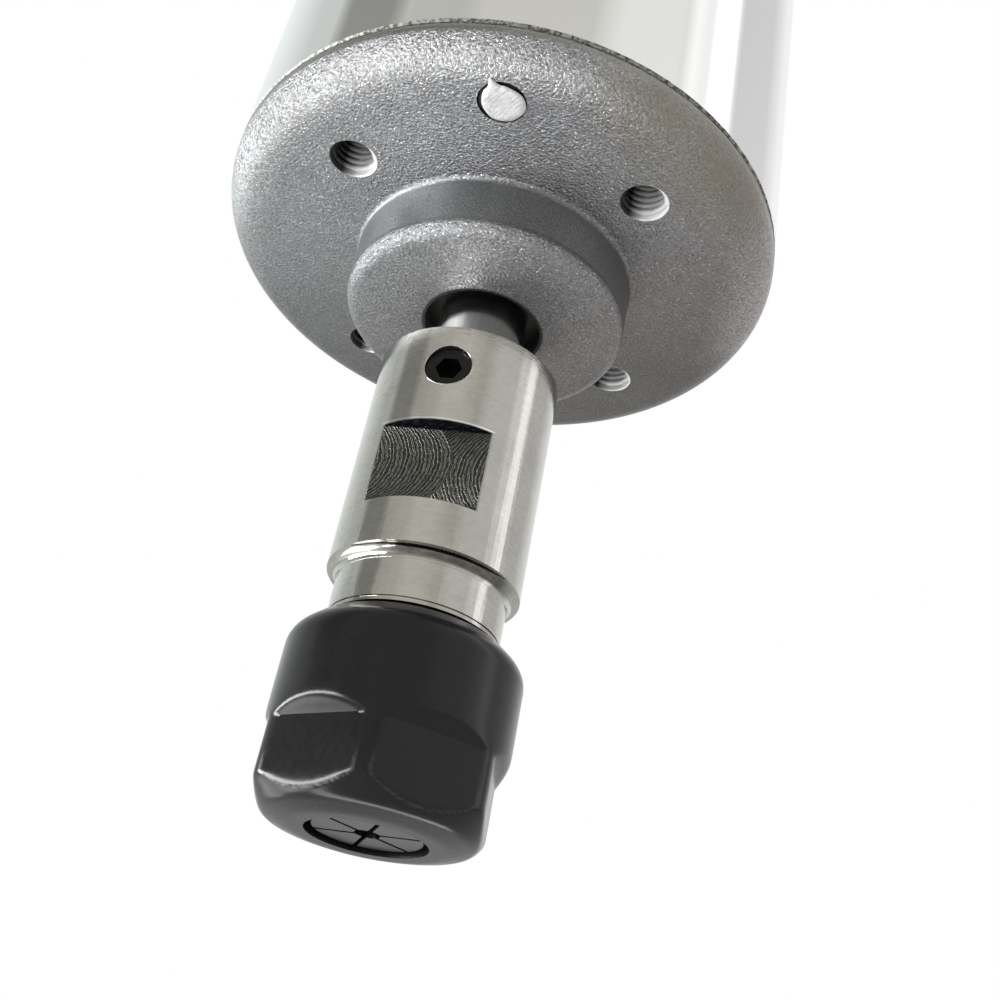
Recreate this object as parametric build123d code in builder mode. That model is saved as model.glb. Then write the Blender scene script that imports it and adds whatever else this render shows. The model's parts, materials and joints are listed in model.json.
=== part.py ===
"""Air-cooled brushed motor spindle with a spring-collet chuck, in millimetres.

+Z runs up the spindle axis, from the collet nut towards the fan. The origin is the centre of
the cast front cap's mounting face. -Y is the side of one tie bolt, +X and -X carry the brushes.
"""

import os
from math import cos, degrees, radians, sin, tan

from build123d import *

# ---- Driving dimensions ----

# Housing tube and cast front cap
body_diameter = 52.0
tube_wall = 2.0
rear_space = 16.5  # brush plate to the end of the tube
cap_rim_height = 3.6  # cast rim that shows in front of the tube
cap_edge_radius = 2.8
cap_seam_chamfer = 0.25
tube_seam_chamfer = 0.2
cap_web = 9.0  # mounting face to the inner face
spigot_clearance = 0.05
spigot_chamfer = 0.4
boss_diameter = 26.0
boss_height = 6.2
boss_edge_radius = 1.3
boss_root_radius = 0.4
shaft_hole_diameter = 10.8
mount_pcd = 36.0
mount_hole_count = 4
mount_tap_diameter = 3.3  # M4 thread, minor diameter
mount_mouth_diameter = 4.2

# Vent windows through the tube, round the commutator
vent_width = 9.0
vent_height = 16.0
vent_corner_radius = 1.5
vent_offset = 8.0  # commutator's start to the middle of a window

# Tie bolts, front cap to rear cap
tie_bolt_gap = 0.8  # bolt to the tube's bore
tie_bolt_diameter = 3.8
tie_hole_clearance = 0.15
tie_bolt_setback = 0.1  # bolt end below the mounting face
tie_head_diameter = 7.0
tie_head_height = 3.0
tie_socket_flats = 3.0
tie_socket_depth = 1.8
tie_washer_diameter = 6.6
tie_washer_thickness = 0.9
tie_head_clearance = 0.2

# Ball bearings, the same size at both ends
bearing_bore = 8.0
bearing_outside = 22.0
bearing_width = 7.0
bearing_lip = 2.0
ball_diameter = 3.969
ball_pitch_diameter = 15.0
ball_count = 7
ball_clearance = 0.03
inner_land_diameter = 12.1
outer_land_diameter = 18.0
shield_thickness = 0.4
shield_recess = 0.1
shield_seat_diameter = 19.2
shield_gap = 0.3
cage_thickness = 0.9
cage_height = 5.0
pocket_clearance = 0.08

# Motor shaft
journal_length_in_chuck = 15.0
core_shaft_diameter = 10.0
shaft_flat_depth = 0.3
shaft_end_chamfer = 0.5

# Armature
core_length = 52.0
core_start = 27.0
slot_count = 12
slot_depth = 7.0
slot_opening = 2.0
tooth_width = 3.0
tooth_tip = 0.9
slot_liner = 0.2
end_plate_thickness = 0.8
end_winding_step = 1.3  # below the core's outside
end_winding_height = 8.5
end_winding_radius = 3.0
end_winding_bore = 12.4

# Field magnets and their spring clips
magnet_thickness = 6.3
magnet_gap = 0.7
magnet_arc = 122.0
magnet_overhang = 4.0
clip_thickness = 0.5
clip_length = 54.0
clip_leg = 4.0

# Commutator
commutator_gap = 13.0  # core to the commutator
commutator_length = 14.0
commutator_diameter = 20.0
commutator_bore = 15.0
commutator_bar_count = 24
bar_slot_width = 0.5
bar_slot_depth = 1.6
riser_diameter = 24.0
riser_width = 2.4
hub_overhang = 0.6

# Brushes, their boxes and springs
brush_width = 5.0
brush_height = 8.0
brush_contact_gap = 0.03
brush_side_clearance = 0.05
box_wall = 0.55
box_reach_gap = 0.8  # box to the tube's bore
box_commutator_gap = 0.9
box_flange_width = 11.0
box_flange_thickness = 0.7
pigtail_slot_width = 1.6
pigtail_slot_length = 7.0
spring_space = 4.1  # brush to the end wall of its box
spring_wire_diameter = 0.4
spring_coil_diameter = 3.6
spring_turns = 3.0
spring_seat_gap = 0.02

# Brush plate
plate_gap = 0.6  # commutator end to the plate
plate_thickness = 2.5
plate_clearance = 0.2
plate_bore_gap = 1.6  # round the commutator
plate_notch_clearance = 0.8
plate_web = 1.6  # plate bore to the windows
plate_rib = 1.0  # windows to the notches
plate_window_span = 48.0
plate_screw_diameter = 3.0
plate_screw_length = 8.0
small_head_diameter = 5.5
small_head_height = 2.0
small_slot_width = 0.8
small_slot_depth = 1.0

# Cast rear cap
rear_rim_height = 5.4
rear_edge_radius = 0.6
rear_spigot_depth = 6.0
rear_spigot_wall = 3.6
rear_web = 6.0
rear_hub_wall = 2.0
rear_hub_depth = 7.6
rear_shaft_hole = 10.0
preload_height = 1.0
preload_gap = 0.2  # round the spring washer
preload_width = 2.4
preload_thickness = 0.4
preload_land = 0.5
post_inset = 4.4  # tube bore to the centre of a post
post_diameter = 6.0
tie_boss_diameter = 7.2
rear_window_step = 0.8  # hub to the windows
rear_window_wall = 0.6  # windows to the bolt heads
rear_window_span = 62.0
lip_height = 2.0
lip_thickness = 1.4
lip_span = 50.0

# Cooling fan and its clip
fan_clearance = 0.7  # to the cover's columns
fan_height = 8.0
fan_gap = 2.0
fan_hub_diameter = 14.0
fan_blade_count = 9
fan_blade_thickness = 1.3
fan_blade_lean = 5.0
fan_clip_diameter = 12.0
fan_clip_thickness = 0.7
fan_clip_groove = 0.5

# Fan cover
cover_height = 14.0
cover_wall = 1.6
cover_top = 2.0
cover_edge_radius = 1.5
cover_fit = 0.1
column_diameter = 5.8
cover_screw_diameter = 3.0
cover_screw_engagement = 7.0
screw_clearance = 0.15
grille_inner = 4.5
grille_slot = 1.9
grille_rib = 1.5
grille_rings = 3
grille_span = 74.0
side_slot_width = 2.4
side_slot_height = 7.0
side_slot_pitch = 13.0

# Supply terminals
stud_diameter = 5.0
stud_shoulder_rise = 0.2  # shoulder above the fixed nut
stud_end_diameter = 4.0
stud_end_length = 5.0
stud_end_chamfer = 0.4
stud_head_height = 2.6
terminal_nut_flats = 8.0
terminal_nut_height = 2.7
terminal_washer_diameter = 9.0
terminal_washer_thickness = 0.8
stud_fit = 0.05
bush_wall = 1.0
bush_flange_diameter = 8.4
bush_flange_thickness = 1.0
link_thickness = 0.5
link_width = 6.0
link_eye_wall = 0.6

# Collet chuck
chuck_standoff = 6.3  # boss face to the chuck
chuck_diameter = 16.0
chuck_shank_length = 20.8
chuck_length = 37.7
chuck_bore_depth = 15.6
shoulder_chamfer = 1.0
neck_diameter = 14.08
neck_length = 4.6
relief_diameter = 12.8
relief_width = 0.6
thread_diameter = 14.0
nose_chamfer = 0.5
wrench_flats = 13.0
wrench_flat_length = 7.4
wrench_flat_start = 9.5  # from the chuck's rear face
wrench_angle = 261.5
set_screw_diameter = 4.0
set_screw_clearance = 0.05
set_screw_start = 4.0  # from the chuck's rear face
set_screw_sink = 0.5
set_screw_socket = 2.0
set_screw_socket_depth = 1.6
tool_bore_diameter = 7.0
taper_angle = 8.0
taper_clearance = 0.03

# Spring collet
collet_length = 18.0
collet_projection = 3.4  # past the chuck's nose
collet_head_diameter = 11.5
collet_bore_diameter = 2.0
collet_face_diameter = 8.4
collet_face_angle = 30.0
collet_face_length = 1.6
collet_rim_length = 0.3
collet_groove_diameter = 8.6
collet_groove_width = 0.9
collet_slit_width = 0.35
collet_slit_count = 6
collet_slit_angle = 47.0
collet_front_web = 3.4
collet_rear_web = 3.4

# Collet nut
nut_diameter = 19.0
nut_flats = 17.0
nut_length = 15.55
nut_lip = 0.35  # front face past the collet's face
nut_flat_length = 6.35
nut_runout = 1.1
nut_flat_angle = 238.2
nut_thread_clearance = 0.05
nut_thread_depth = 12.0
nut_relief_diameter = 12.4
nut_hole_diameter = 9.4
nut_cone_gap = 0.08
nut_rear_face_diameter = 14.8
nut_rear_bevel = 2.1
nut_rear_radius = 1.2
nut_front_face_diameter = 12.2
nut_crown_diameter = 16.1
nut_crown_drop = 0.45
nut_front_chamfer = 1.7
ring_hole_diameter = 9.5
ring_offset = 0.35
ring_width = 0.4
ring_cut_allowance = 0.05

# ---- Levels along the axis and shared sizes ----
body_radius = body_diameter / 2
bore_radius = body_radius - tube_wall
spigot_radius = bore_radius - spigot_clearance
tie_bolt_radius = bore_radius - tie_bolt_gap - tie_bolt_diameter / 2
post_radius = bore_radius - post_inset
tube_start = cap_rim_height
boss_face = -boss_height
front_bearing_face = boss_face + bearing_lip
front_bearing_back = front_bearing_face + bearing_width
core_end = core_start + core_length
commutator_start = core_end + commutator_gap
commutator_end = commutator_start + commutator_length
vent_centre = commutator_start + vent_offset
plate_front = commutator_end + plate_gap
plate_back = plate_front + plate_thickness
tube_end = plate_back + rear_space
tube_length = tube_end - tube_start
brush_level = plate_front - box_flange_thickness - box_wall - brush_side_clearance - brush_height / 2
rear_face = tube_end + rear_rim_height
rear_spigot_start = tube_end - rear_spigot_depth
rear_web_start = rear_face - rear_web
rear_bearing_face = tube_end - rear_hub_depth
rear_bearing_back = rear_bearing_face + bearing_width
rear_pocket_floor = rear_bearing_back + preload_height
rear_hub_radius = bearing_outside / 2 + rear_hub_wall
rear_window_inner = rear_hub_radius + rear_window_step
rear_window_outer = tie_bolt_radius - tie_head_diameter / 2 - tie_head_clearance - rear_window_wall
bearing_spacing = rear_bearing_face - front_bearing_face
tie_seat = rear_face - tie_head_height - tie_washer_thickness
fan_start = rear_face + fan_gap
fan_end = fan_start + fan_height
shaft_end = fan_end + 2 * fan_clip_thickness
cover_end = rear_face + cover_height
cover_ceiling = cover_end - cover_top
cover_radius = body_radius - cover_wall
fan_radius = post_radius - column_diameter / 2 - fan_clearance
stud_shoulder = cover_end + terminal_washer_thickness + terminal_nut_height + stud_shoulder_rise
stud_end = stud_shoulder + stud_end_length
stud_hole_radius = stud_diameter / 2 + stud_fit
bush_radius = stud_hole_radius + bush_wall
chuck_rear = boss_face - chuck_standoff
chuck_shoulder = chuck_rear - chuck_shank_length
chuck_nose = chuck_rear - chuck_length
shaft_start = chuck_rear - journal_length_in_chuck
set_screw_level = chuck_rear - set_screw_start
shaft_flat_distance = bearing_bore / 2 - shaft_flat_depth
wrench_sides = (wrench_angle, wrench_angle + 180)
wrench_flat_middle = chuck_rear - wrench_flat_start - wrench_flat_length / 2
collet_front = chuck_nose - collet_projection
collet_rear = collet_front + collet_length
collet_rim_start = collet_front + collet_face_length
collet_groove_start = collet_rim_start + collet_rim_length
collet_taper_start = collet_groove_start + collet_groove_width
taper_slope = tan(radians(taper_angle))
collet_rear_radius = collet_head_diameter / 2 - (collet_rear - collet_taper_start) * taper_slope
nut_front = collet_front - nut_lip
nut_rear = nut_front + nut_length
magnet_radius = bore_radius - magnet_thickness
core_radius = magnet_radius - magnet_gap
end_winding_radius_outside = core_radius - end_winding_step
box_outer_reach = bore_radius - box_reach_gap
brush_tip = commutator_diameter / 2 + brush_contact_gap
brush_length = box_outer_reach - box_wall - spring_space - brush_tip
plate_bore_radius = commutator_diameter / 2 + plate_bore_gap
plate_window_inner = plate_bore_radius + plate_web
plate_window_outer = tie_bolt_radius - tie_bolt_diameter / 2 - plate_notch_clearance - plate_rib


# ---- Helpers ----
def facing(angle, radius, height):
    """Plane that looks outwards at an angle about the axis, with x across and y up."""
    a = radians(angle)
    return Plane(
        origin=(radius * cos(a), radius * sin(a), height),
        x_dir=(-sin(a), cos(a), 0),
        z_dir=(cos(a), sin(a), 0),
    )


def meridian(angle):
    """Plane through the axis at an angle about it, with x outwards and y up."""
    a = radians(angle)
    return Plane(origin=(0, 0, 0), x_dir=(cos(a), sin(a), 0), z_dir=(sin(a), -cos(a), 0))


def rims(part, diameter, height):
    """Round edges of a diameter that lie at a height."""
    return part.edges().filter_by(GeomType.CIRCLE).filter_by(
        lambda edge: abs(edge.radius - diameter / 2) < 0.005 and abs(edge.center().Z - height) < 0.005
    )


def ring_segment(inner, outer, span):
    """Flat ring segment between two radii, centred on +X."""
    with BuildSketch() as segment:
        with BuildLine():
            outside = CenterArc((0, 0), outer, -span / 2, span)
            inside = CenterArc((0, 0), inner, -span / 2, span)
            Line(outside @ 0, inside @ 0)
            Line(outside @ 1, inside @ 1)
        make_face()
    return segment.sketch


# ---- Housing ----
with BuildPart() as housing_tube:
    with BuildSketch(Plane.XY.offset(tube_start)):
        Circle(body_radius)
        Circle(bore_radius, mode=Mode.SUBTRACT)
    extrude(amount=tube_length)
    chamfer(rims(housing_tube, body_diameter, tube_start), tube_seam_chamfer)
    with BuildSketch(*[facing(angle, 0, vent_centre) for angle in (45, 135, 225, 315)]):
        RectangleRounded(vent_width, vent_height, vent_corner_radius)
    extrude(amount=body_radius + 1, mode=Mode.SUBTRACT)

with BuildPart() as front_end_cap:
    with BuildSketch(Plane.XZ):
        with BuildLine():
            Polyline(
                (shaft_hole_diameter / 2, boss_face),
                (boss_diameter / 2, boss_face),
                (boss_diameter / 2, 0),
                (body_radius, 0),
                (body_radius, cap_rim_height),
                (spigot_radius, cap_rim_height),
                (spigot_radius, cap_web),
                (bearing_outside / 2, cap_web),
                (bearing_outside / 2, front_bearing_face),
                (shaft_hole_diameter / 2, front_bearing_face),
                close=True,
            )
        make_face()
    revolve(axis=Axis.Z)
    fillet(rims(front_end_cap, body_diameter, 0), cap_edge_radius)
    fillet(rims(front_end_cap, boss_diameter, boss_face), boss_edge_radius)
    fillet(rims(front_end_cap, boss_diameter, 0), boss_root_radius)
    chamfer(rims(front_end_cap, body_diameter, cap_rim_height), cap_seam_chamfer)
    chamfer(rims(front_end_cap, 2 * spigot_radius, cap_web), spigot_chamfer)
    with PolarLocations(mount_pcd / 2, mount_hole_count, start_angle=45):
        Hole(mount_tap_diameter / 2)
    chamfer(rims(front_end_cap, mount_tap_diameter, 0), (mount_mouth_diameter - mount_tap_diameter) / 2)
    with PolarLocations(tie_bolt_radius, 2, start_angle=90):
        Hole(tie_bolt_diameter / 2 + tie_hole_clearance)

rear_window = ring_segment(rear_window_inner, rear_window_outer, rear_window_span)
cover_lip = ring_segment(cover_radius - cover_fit - lip_thickness, cover_radius - cover_fit, lip_span)

with BuildPart() as rear_end_cap:
    with BuildSketch(Plane.XZ):
        with BuildLine():
            Polyline(
                (rear_shaft_hole / 2, rear_pocket_floor),
                (rear_shaft_hole / 2, rear_face),
                (body_radius, rear_face),
                (body_radius, tube_end),
                (spigot_radius, tube_end),
                (spigot_radius, rear_spigot_start),
                (spigot_radius - rear_spigot_wall, rear_spigot_start),
                (spigot_radius - rear_spigot_wall, rear_web_start),
                (rear_hub_radius, rear_web_start),
                (rear_hub_radius, rear_bearing_face),
                (bearing_outside / 2, rear_bearing_face),
                (bearing_outside / 2, rear_pocket_floor),
                close=True,
            )
        make_face()
    revolve(axis=Axis.Z)
    fillet(rims(rear_end_cap, body_diameter, rear_face), rear_edge_radius)
    # Bosses inside the spigot ring, then the two posts that carry the brush plate
    with BuildSketch(Plane.XY.offset(rear_spigot_start)):
        with PolarLocations(tie_bolt_radius, 2, start_angle=90):
            Circle(tie_boss_diameter / 2)
        with PolarLocations(post_radius, 2, start_angle=45):
            Circle(bush_radius + bush_wall)
        Circle(spigot_radius, mode=Mode.INTERSECT)
    extrude(amount=rear_web_start - rear_spigot_start)
    with BuildSketch(Plane.XY.offset(plate_back)):
        with PolarLocations(post_radius, 2, start_angle=135):
            Circle(post_diameter / 2)
    extrude(amount=rear_web_start - plate_back)
    with BuildSketch(Plane.XY.offset(rear_face)):
        with PolarLocations(0, 2):
            add(cover_lip)
    extrude(amount=lip_height)
    # Air windows round the hub
    with BuildSketch(Plane.XY.offset(rear_web_start)):
        with PolarLocations(0, 4):
            add(rear_window)
    extrude(amount=rear_web, mode=Mode.SUBTRACT)
    with Locations(Plane.XY.offset(rear_face)):
        with PolarLocations(tie_bolt_radius, 2, start_angle=90):
            CounterBoreHole(
                radius=tie_bolt_diameter / 2 + tie_hole_clearance,
                counter_bore_radius=tie_head_diameter / 2 + tie_head_clearance,
                counter_bore_depth=rear_face - tie_seat,
            )
        with PolarLocations(post_radius, 2, start_angle=45):
            Hole(bush_radius)
        with PolarLocations(post_radius, 2, start_angle=135):
            Hole(cover_screw_diameter / 2)

with BuildPart() as tie_bolts:
    with BuildSketch(Plane.XY.offset(tie_bolt_setback)):
        with PolarLocations(tie_bolt_radius, 2, start_angle=90):
            Circle(tie_bolt_diameter / 2)
    extrude(amount=tie_seat + tie_washer_thickness - tie_bolt_setback)
    with BuildSketch(Plane.XY.offset(tie_seat + tie_washer_thickness)):
        with PolarLocations(tie_bolt_radius, 2, start_angle=90):
            Circle(tie_head_diameter / 2)
    extrude(amount=tie_head_height)
    with BuildSketch(Plane.XY.offset(rear_face - tie_socket_depth)):
        with PolarLocations(tie_bolt_radius, 2, start_angle=90):
            RegularPolygon(tie_socket_flats / 2, 6, major_radius=False)
    extrude(amount=tie_socket_depth, mode=Mode.SUBTRACT)

with BuildPart() as tie_bolt_washers:
    with BuildSketch(Plane.XY.offset(tie_seat)):
        with PolarLocations(tie_bolt_radius, 2, start_angle=90):
            Circle(tie_washer_diameter / 2)
            Circle(tie_bolt_diameter / 2 + tie_hole_clearance, mode=Mode.SUBTRACT)
    extrude(amount=tie_washer_thickness)

# ---- Field magnets ----
magnet_face = ring_segment(magnet_radius, bore_radius, magnet_arc)

with BuildPart() as field_magnet_right:
    with BuildSketch(Plane.XY.offset(core_start - magnet_overhang)):
        add(magnet_face)
    extrude(amount=core_length + 2 * magnet_overhang)

with BuildPart() as field_magnet_left:
    with BuildSketch(Plane.XY.offset(core_start - magnet_overhang)):
        add(magnet_face, rotation=180)
    extrude(amount=core_length + 2 * magnet_overhang)

clip_span = 180 - magnet_arc
clip_leg_span = degrees(clip_thickness / bore_radius)
clip_section = ring_segment(bore_radius - clip_leg, bore_radius, clip_span) - ring_segment(
    bore_radius - clip_leg - 1, bore_radius - clip_thickness, clip_span - 2 * clip_leg_span
)

with BuildPart() as magnet_clips:
    with BuildSketch(Plane.XY.offset(core_start + (core_length - clip_length) / 2)):
        with PolarLocations(0, 2, start_angle=90):
            add(clip_section)
    extrude(amount=clip_length)

# ---- Ball bearings ----
inner_land = inner_land_diameter / 2
outer_land = outer_land_diameter / 2
groove_radius = ball_diameter / 2 + ball_clearance
front_bearing_level = front_bearing_face + bearing_width / 2
shield_level = bearing_width - shield_recess - shield_thickness  # inner side of a shield

with BuildPart() as front_bearing_inner_ring:
    with BuildSketch(Plane.XZ.offset(0)):
        with Locations(((bearing_bore / 2 + inner_land) / 2, front_bearing_level)):
            Rectangle(inner_land - bearing_bore / 2, bearing_width)
        with Locations((ball_pitch_diameter / 2, front_bearing_level)):
            Circle(groove_radius, mode=Mode.SUBTRACT)
    revolve(axis=Axis.Z)

with BuildPart() as front_bearing_outer_ring:
    with BuildSketch(Plane.XZ):
        with Locations(((outer_land + bearing_outside / 2) / 2, front_bearing_level)):
            Rectangle(bearing_outside / 2 - outer_land, bearing_width)
        with Locations((ball_pitch_diameter / 2, front_bearing_level)):
            Circle(groove_radius, mode=Mode.SUBTRACT)
        # Seats for the two shields
        with Locations(*[(shield_seat_diameter / 4, z) for z in (front_bearing_face, front_bearing_back)]):
            Rectangle(shield_seat_diameter / 2, 2 * (bearing_width - shield_level), mode=Mode.SUBTRACT)
    revolve(axis=Axis.Z)

with BuildPart() as front_bearing_shields:
    with BuildSketch(
        Plane.XY.offset(front_bearing_face + shield_recess),
        Plane.XY.offset(front_bearing_face + shield_level),
    ):
        Circle(shield_seat_diameter / 2)
        Circle(inner_land + shield_gap, mode=Mode.SUBTRACT)
    extrude(amount=shield_thickness)

with BuildPart() as front_bearing_balls:
    with Locations((0, 0, front_bearing_level)):
        with PolarLocations(ball_pitch_diameter / 2, ball_count):
            Sphere(ball_diameter / 2)

with BuildPart() as front_bearing_cage:
    with BuildSketch(Plane.XY.offset(front_bearing_level - cage_height / 2)):
        Circle((ball_pitch_diameter + cage_thickness) / 2)
        Circle((ball_pitch_diameter - cage_thickness) / 2, mode=Mode.SUBTRACT)
    extrude(amount=cage_height)
    with BuildSketch(*[facing(360 / ball_count * i, 0, front_bearing_level) for i in range(ball_count)]):
        Circle(ball_diameter / 2 + pocket_clearance)
    extrude(amount=ball_pitch_diameter, mode=Mode.SUBTRACT)

with BuildPart() as rear_bearing_inner_ring:
    with Locations((0, 0, bearing_spacing)):
        add(front_bearing_inner_ring.part)

with BuildPart() as rear_bearing_outer_ring:
    with Locations((0, 0, bearing_spacing)):
        add(front_bearing_outer_ring.part)

with BuildPart() as rear_bearing_shields:
    with Locations((0, 0, bearing_spacing)):
        add(front_bearing_shields.part)

with BuildPart() as rear_bearing_balls:
    with Locations((0, 0, bearing_spacing)):
        add(front_bearing_balls.part)

with BuildPart() as rear_bearing_cage:
    with Locations((0, 0, bearing_spacing)):
        add(front_bearing_cage.part)

# Conical spring washer that preloads the rear bearing
washer_radius = bearing_outside / 2 - preload_gap

with BuildPart() as preload_washer:
    with BuildSketch(Plane.XZ):
        with BuildLine():
            Polyline(
                (washer_radius, rear_bearing_back),
                (washer_radius - preload_land, rear_bearing_back),
                (washer_radius - preload_width, rear_pocket_floor - preload_thickness),
                (washer_radius - preload_width, rear_pocket_floor),
                (washer_radius - preload_width + preload_land, rear_pocket_floor),
                (washer_radius, rear_bearing_back + preload_thickness),
                close=True,
            )
        make_face()
    revolve(axis=Axis.Z)

# ---- Rotor ----
with BuildPart() as motor_shaft:
    with BuildSketch(Plane.XY.offset(shaft_start)):
        Circle(bearing_bore / 2)
    extrude(amount=shaft_end - shaft_start)
    with BuildSketch(Plane.XY.offset(front_bearing_back)):
        Circle(core_shaft_diameter / 2)
    extrude(amount=rear_bearing_face - front_bearing_back)
    chamfer(rims(motor_shaft, bearing_bore, shaft_start), shaft_end_chamfer)
    chamfer(rims(motor_shaft, bearing_bore, shaft_end), shaft_end_chamfer)
    # Flats under the two set screws
    with BuildSketch(*[facing(angle, shaft_flat_distance, set_screw_level) for angle in wrench_sides]):
        Rectangle(bearing_bore, set_screw_diameter + 2)
    extrude(amount=bearing_bore, mode=Mode.SUBTRACT)
    # Groove for the fan clip
    with BuildSketch(Plane.XY.offset(fan_end)):
        Circle(bearing_bore)
        Circle(bearing_bore / 2 - fan_clip_groove, mode=Mode.SUBTRACT)
    extrude(amount=fan_clip_thickness, mode=Mode.SUBTRACT)

# One slot, from its bottom to the open mouth, with parallel-sided teeth beside it
slot_bottom = core_radius - slot_depth
slot_shoulder = core_radius - 2 * tooth_tip
half_pitch = radians(180 / slot_count)

with BuildSketch() as core_slot:
    with BuildLine():
        Polyline(
            (slot_bottom, slot_bottom * tan(half_pitch) - tooth_width / 2),
            (slot_shoulder, slot_shoulder * tan(half_pitch) - tooth_width / 2),
            (core_radius - tooth_tip, slot_opening / 2),
            (core_radius + 1, slot_opening / 2),
            (core_radius + 1, 0),
            (slot_bottom, 0),
            close=True,
        )
    make_face()
    mirror(about=Plane.XZ)

with BuildSketch() as core_outline:
    Circle(core_radius)
    Circle(core_shaft_diameter / 2, mode=Mode.SUBTRACT)
    with PolarLocations(0, slot_count):
        add(core_slot.sketch, mode=Mode.SUBTRACT)

with BuildSketch() as slot_filling:
    add(core_slot.sketch)
    Circle(slot_shoulder, mode=Mode.INTERSECT)
    offset(amount=-slot_liner)

with BuildPart() as armature_core:
    with BuildSketch(Plane.XY.offset(core_start)):
        add(core_outline.sketch)
    extrude(amount=core_length)

with BuildPart() as armature_end_plates:
    with BuildSketch(Plane.XY.offset(core_start - end_plate_thickness), Plane.XY.offset(core_end)):
        add(core_outline.sketch)
        Circle(core_radius - tooth_tip, mode=Mode.INTERSECT)
    extrude(amount=end_plate_thickness)

with BuildPart() as armature_windings:
    # Copper in the slots
    with BuildSketch(Plane.XY.offset(core_start - end_plate_thickness)):
        with PolarLocations(0, slot_count):
            add(slot_filling.sketch)
    extrude(amount=core_length + 2 * end_plate_thickness)
    # End turns; the rear ones taper to the commutator's risers
    with BuildSketch(Plane.XZ):
        with BuildLine():
            Polyline(
                (end_winding_bore / 2, core_start - end_plate_thickness),
                (end_winding_radius_outside, core_start - end_plate_thickness),
                (end_winding_radius_outside, core_start - end_plate_thickness - end_winding_height),
                (end_winding_bore / 2, core_start - end_plate_thickness - end_winding_height),
                close=True,
            )
        make_face()
        fillet(vertices().group_by(Axis.Y)[0], end_winding_radius)
        with BuildLine():
            Polyline(
                (end_winding_bore / 2, core_end + end_plate_thickness),
                (end_winding_radius_outside, core_end + end_plate_thickness),
                (end_winding_radius_outside, core_end + end_plate_thickness + end_winding_height / 2),
                (riser_diameter / 2, commutator_start),
                (end_winding_bore / 2, commutator_start),
                close=True,
            )
        make_face()
    revolve(axis=Axis.Z)

bar_slot_floor = commutator_diameter / 2 - bar_slot_depth

with BuildPart() as commutator_bars:
    with BuildSketch(Plane.XZ):
        with BuildLine():
            Polyline(
                (commutator_bore / 2, commutator_start),
                (riser_diameter / 2, commutator_start),
                (riser_diameter / 2, commutator_start + riser_width),
                (commutator_diameter / 2, commutator_start + riser_width),
                (commutator_diameter / 2, commutator_end),
                (commutator_bore / 2, commutator_end),
                close=True,
            )
        make_face()
    revolve(axis=Axis.Z)
    with BuildSketch(Plane.XY.offset(commutator_start)):
        with PolarLocations(bar_slot_floor + riser_diameter / 2, commutator_bar_count):
            Rectangle(riser_diameter, bar_slot_width)
    extrude(amount=commutator_length, mode=Mode.SUBTRACT)

with BuildPart() as commutator_hub:
    with BuildSketch(Plane.XY.offset(commutator_start)):
        Circle(commutator_bore / 2)
        Circle(core_shaft_diameter / 2, mode=Mode.SUBTRACT)
    extrude(amount=commutator_length + hub_overhang)

# Fan: pitched blades on a hub, trimmed round
with BuildPart() as cooling_fan:
    with BuildSketch(*[facing(360 / fan_blade_count * i, 0, fan_start) for i in range(fan_blade_count)]):
        with BuildLine():
            Polyline(
                (-fan_blade_lean / 2 - fan_blade_thickness / 2, 0),
                (-fan_blade_lean / 2 + fan_blade_thickness / 2, 0),
                (fan_blade_lean / 2 + fan_blade_thickness / 2, fan_height),
                (fan_blade_lean / 2 - fan_blade_thickness / 2, fan_height),
                close=True,
            )
        make_face()
    extrude(amount=2 * fan_radius)
    with BuildSketch(Plane.XY.offset(fan_start)):
        Circle(fan_radius)
    extrude(amount=fan_height, mode=Mode.INTERSECT)
    with BuildSketch(Plane.XY.offset(fan_start)):
        Circle(fan_hub_diameter / 2)
    extrude(amount=fan_height)
    with BuildSketch(Plane.XY.offset(fan_start)):
        Circle(bearing_bore / 2)
    extrude(amount=fan_height, mode=Mode.SUBTRACT)

with BuildPart() as fan_clip:
    with BuildSketch(Plane.XY.offset(fan_end)):
        Circle(fan_clip_diameter / 2)
        Circle(bearing_bore / 2 - fan_clip_groove, mode=Mode.SUBTRACT)
        with Locations((fan_clip_diameter / 2, 0)):
            Rectangle(fan_clip_diameter, bearing_bore * 0.6, mode=Mode.SUBTRACT)
    extrude(amount=fan_clip_thickness)

# ---- Brush gear ----
plate_window = ring_segment(plate_window_inner, plate_window_outer, plate_window_span)

with BuildPart() as brush_plate:
    with BuildSketch(Plane.XY.offset(plate_front)):
        Circle(bore_radius - plate_clearance)
        Circle(plate_bore_radius, mode=Mode.SUBTRACT)
        with PolarLocations(tie_bolt_radius, 2, start_angle=90):
            Circle(tie_bolt_diameter / 2 + plate_notch_clearance, mode=Mode.SUBTRACT)
        with PolarLocations(post_radius, 2, start_angle=45):
            Circle(stud_hole_radius, mode=Mode.SUBTRACT)
        with PolarLocations(post_radius, 2, start_angle=135):
            Circle(plate_screw_diameter / 2 + screw_clearance, mode=Mode.SUBTRACT)
        with PolarLocations(0, 2, start_angle=90):
            add(plate_window, mode=Mode.SUBTRACT)
    extrude(amount=plate_thickness)

with BuildPart() as brush_plate_screws:
    with BuildSketch(Plane.XY.offset(plate_front - small_head_height)):
        with PolarLocations(post_radius, 2, start_angle=135):
            Circle(small_head_diameter / 2)
    extrude(amount=small_head_height)
    with BuildSketch(Plane.XY.offset(plate_front)):
        with PolarLocations(post_radius, 2, start_angle=135):
            Circle(plate_screw_diameter / 2)
    extrude(amount=plate_screw_length)
    with BuildSketch(Plane.XY.offset(plate_front - small_head_height)):
        with PolarLocations(post_radius, 2, start_angle=135):
            Rectangle(small_slot_width, small_head_diameter)
    extrude(amount=small_slot_depth, mode=Mode.SUBTRACT)

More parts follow.
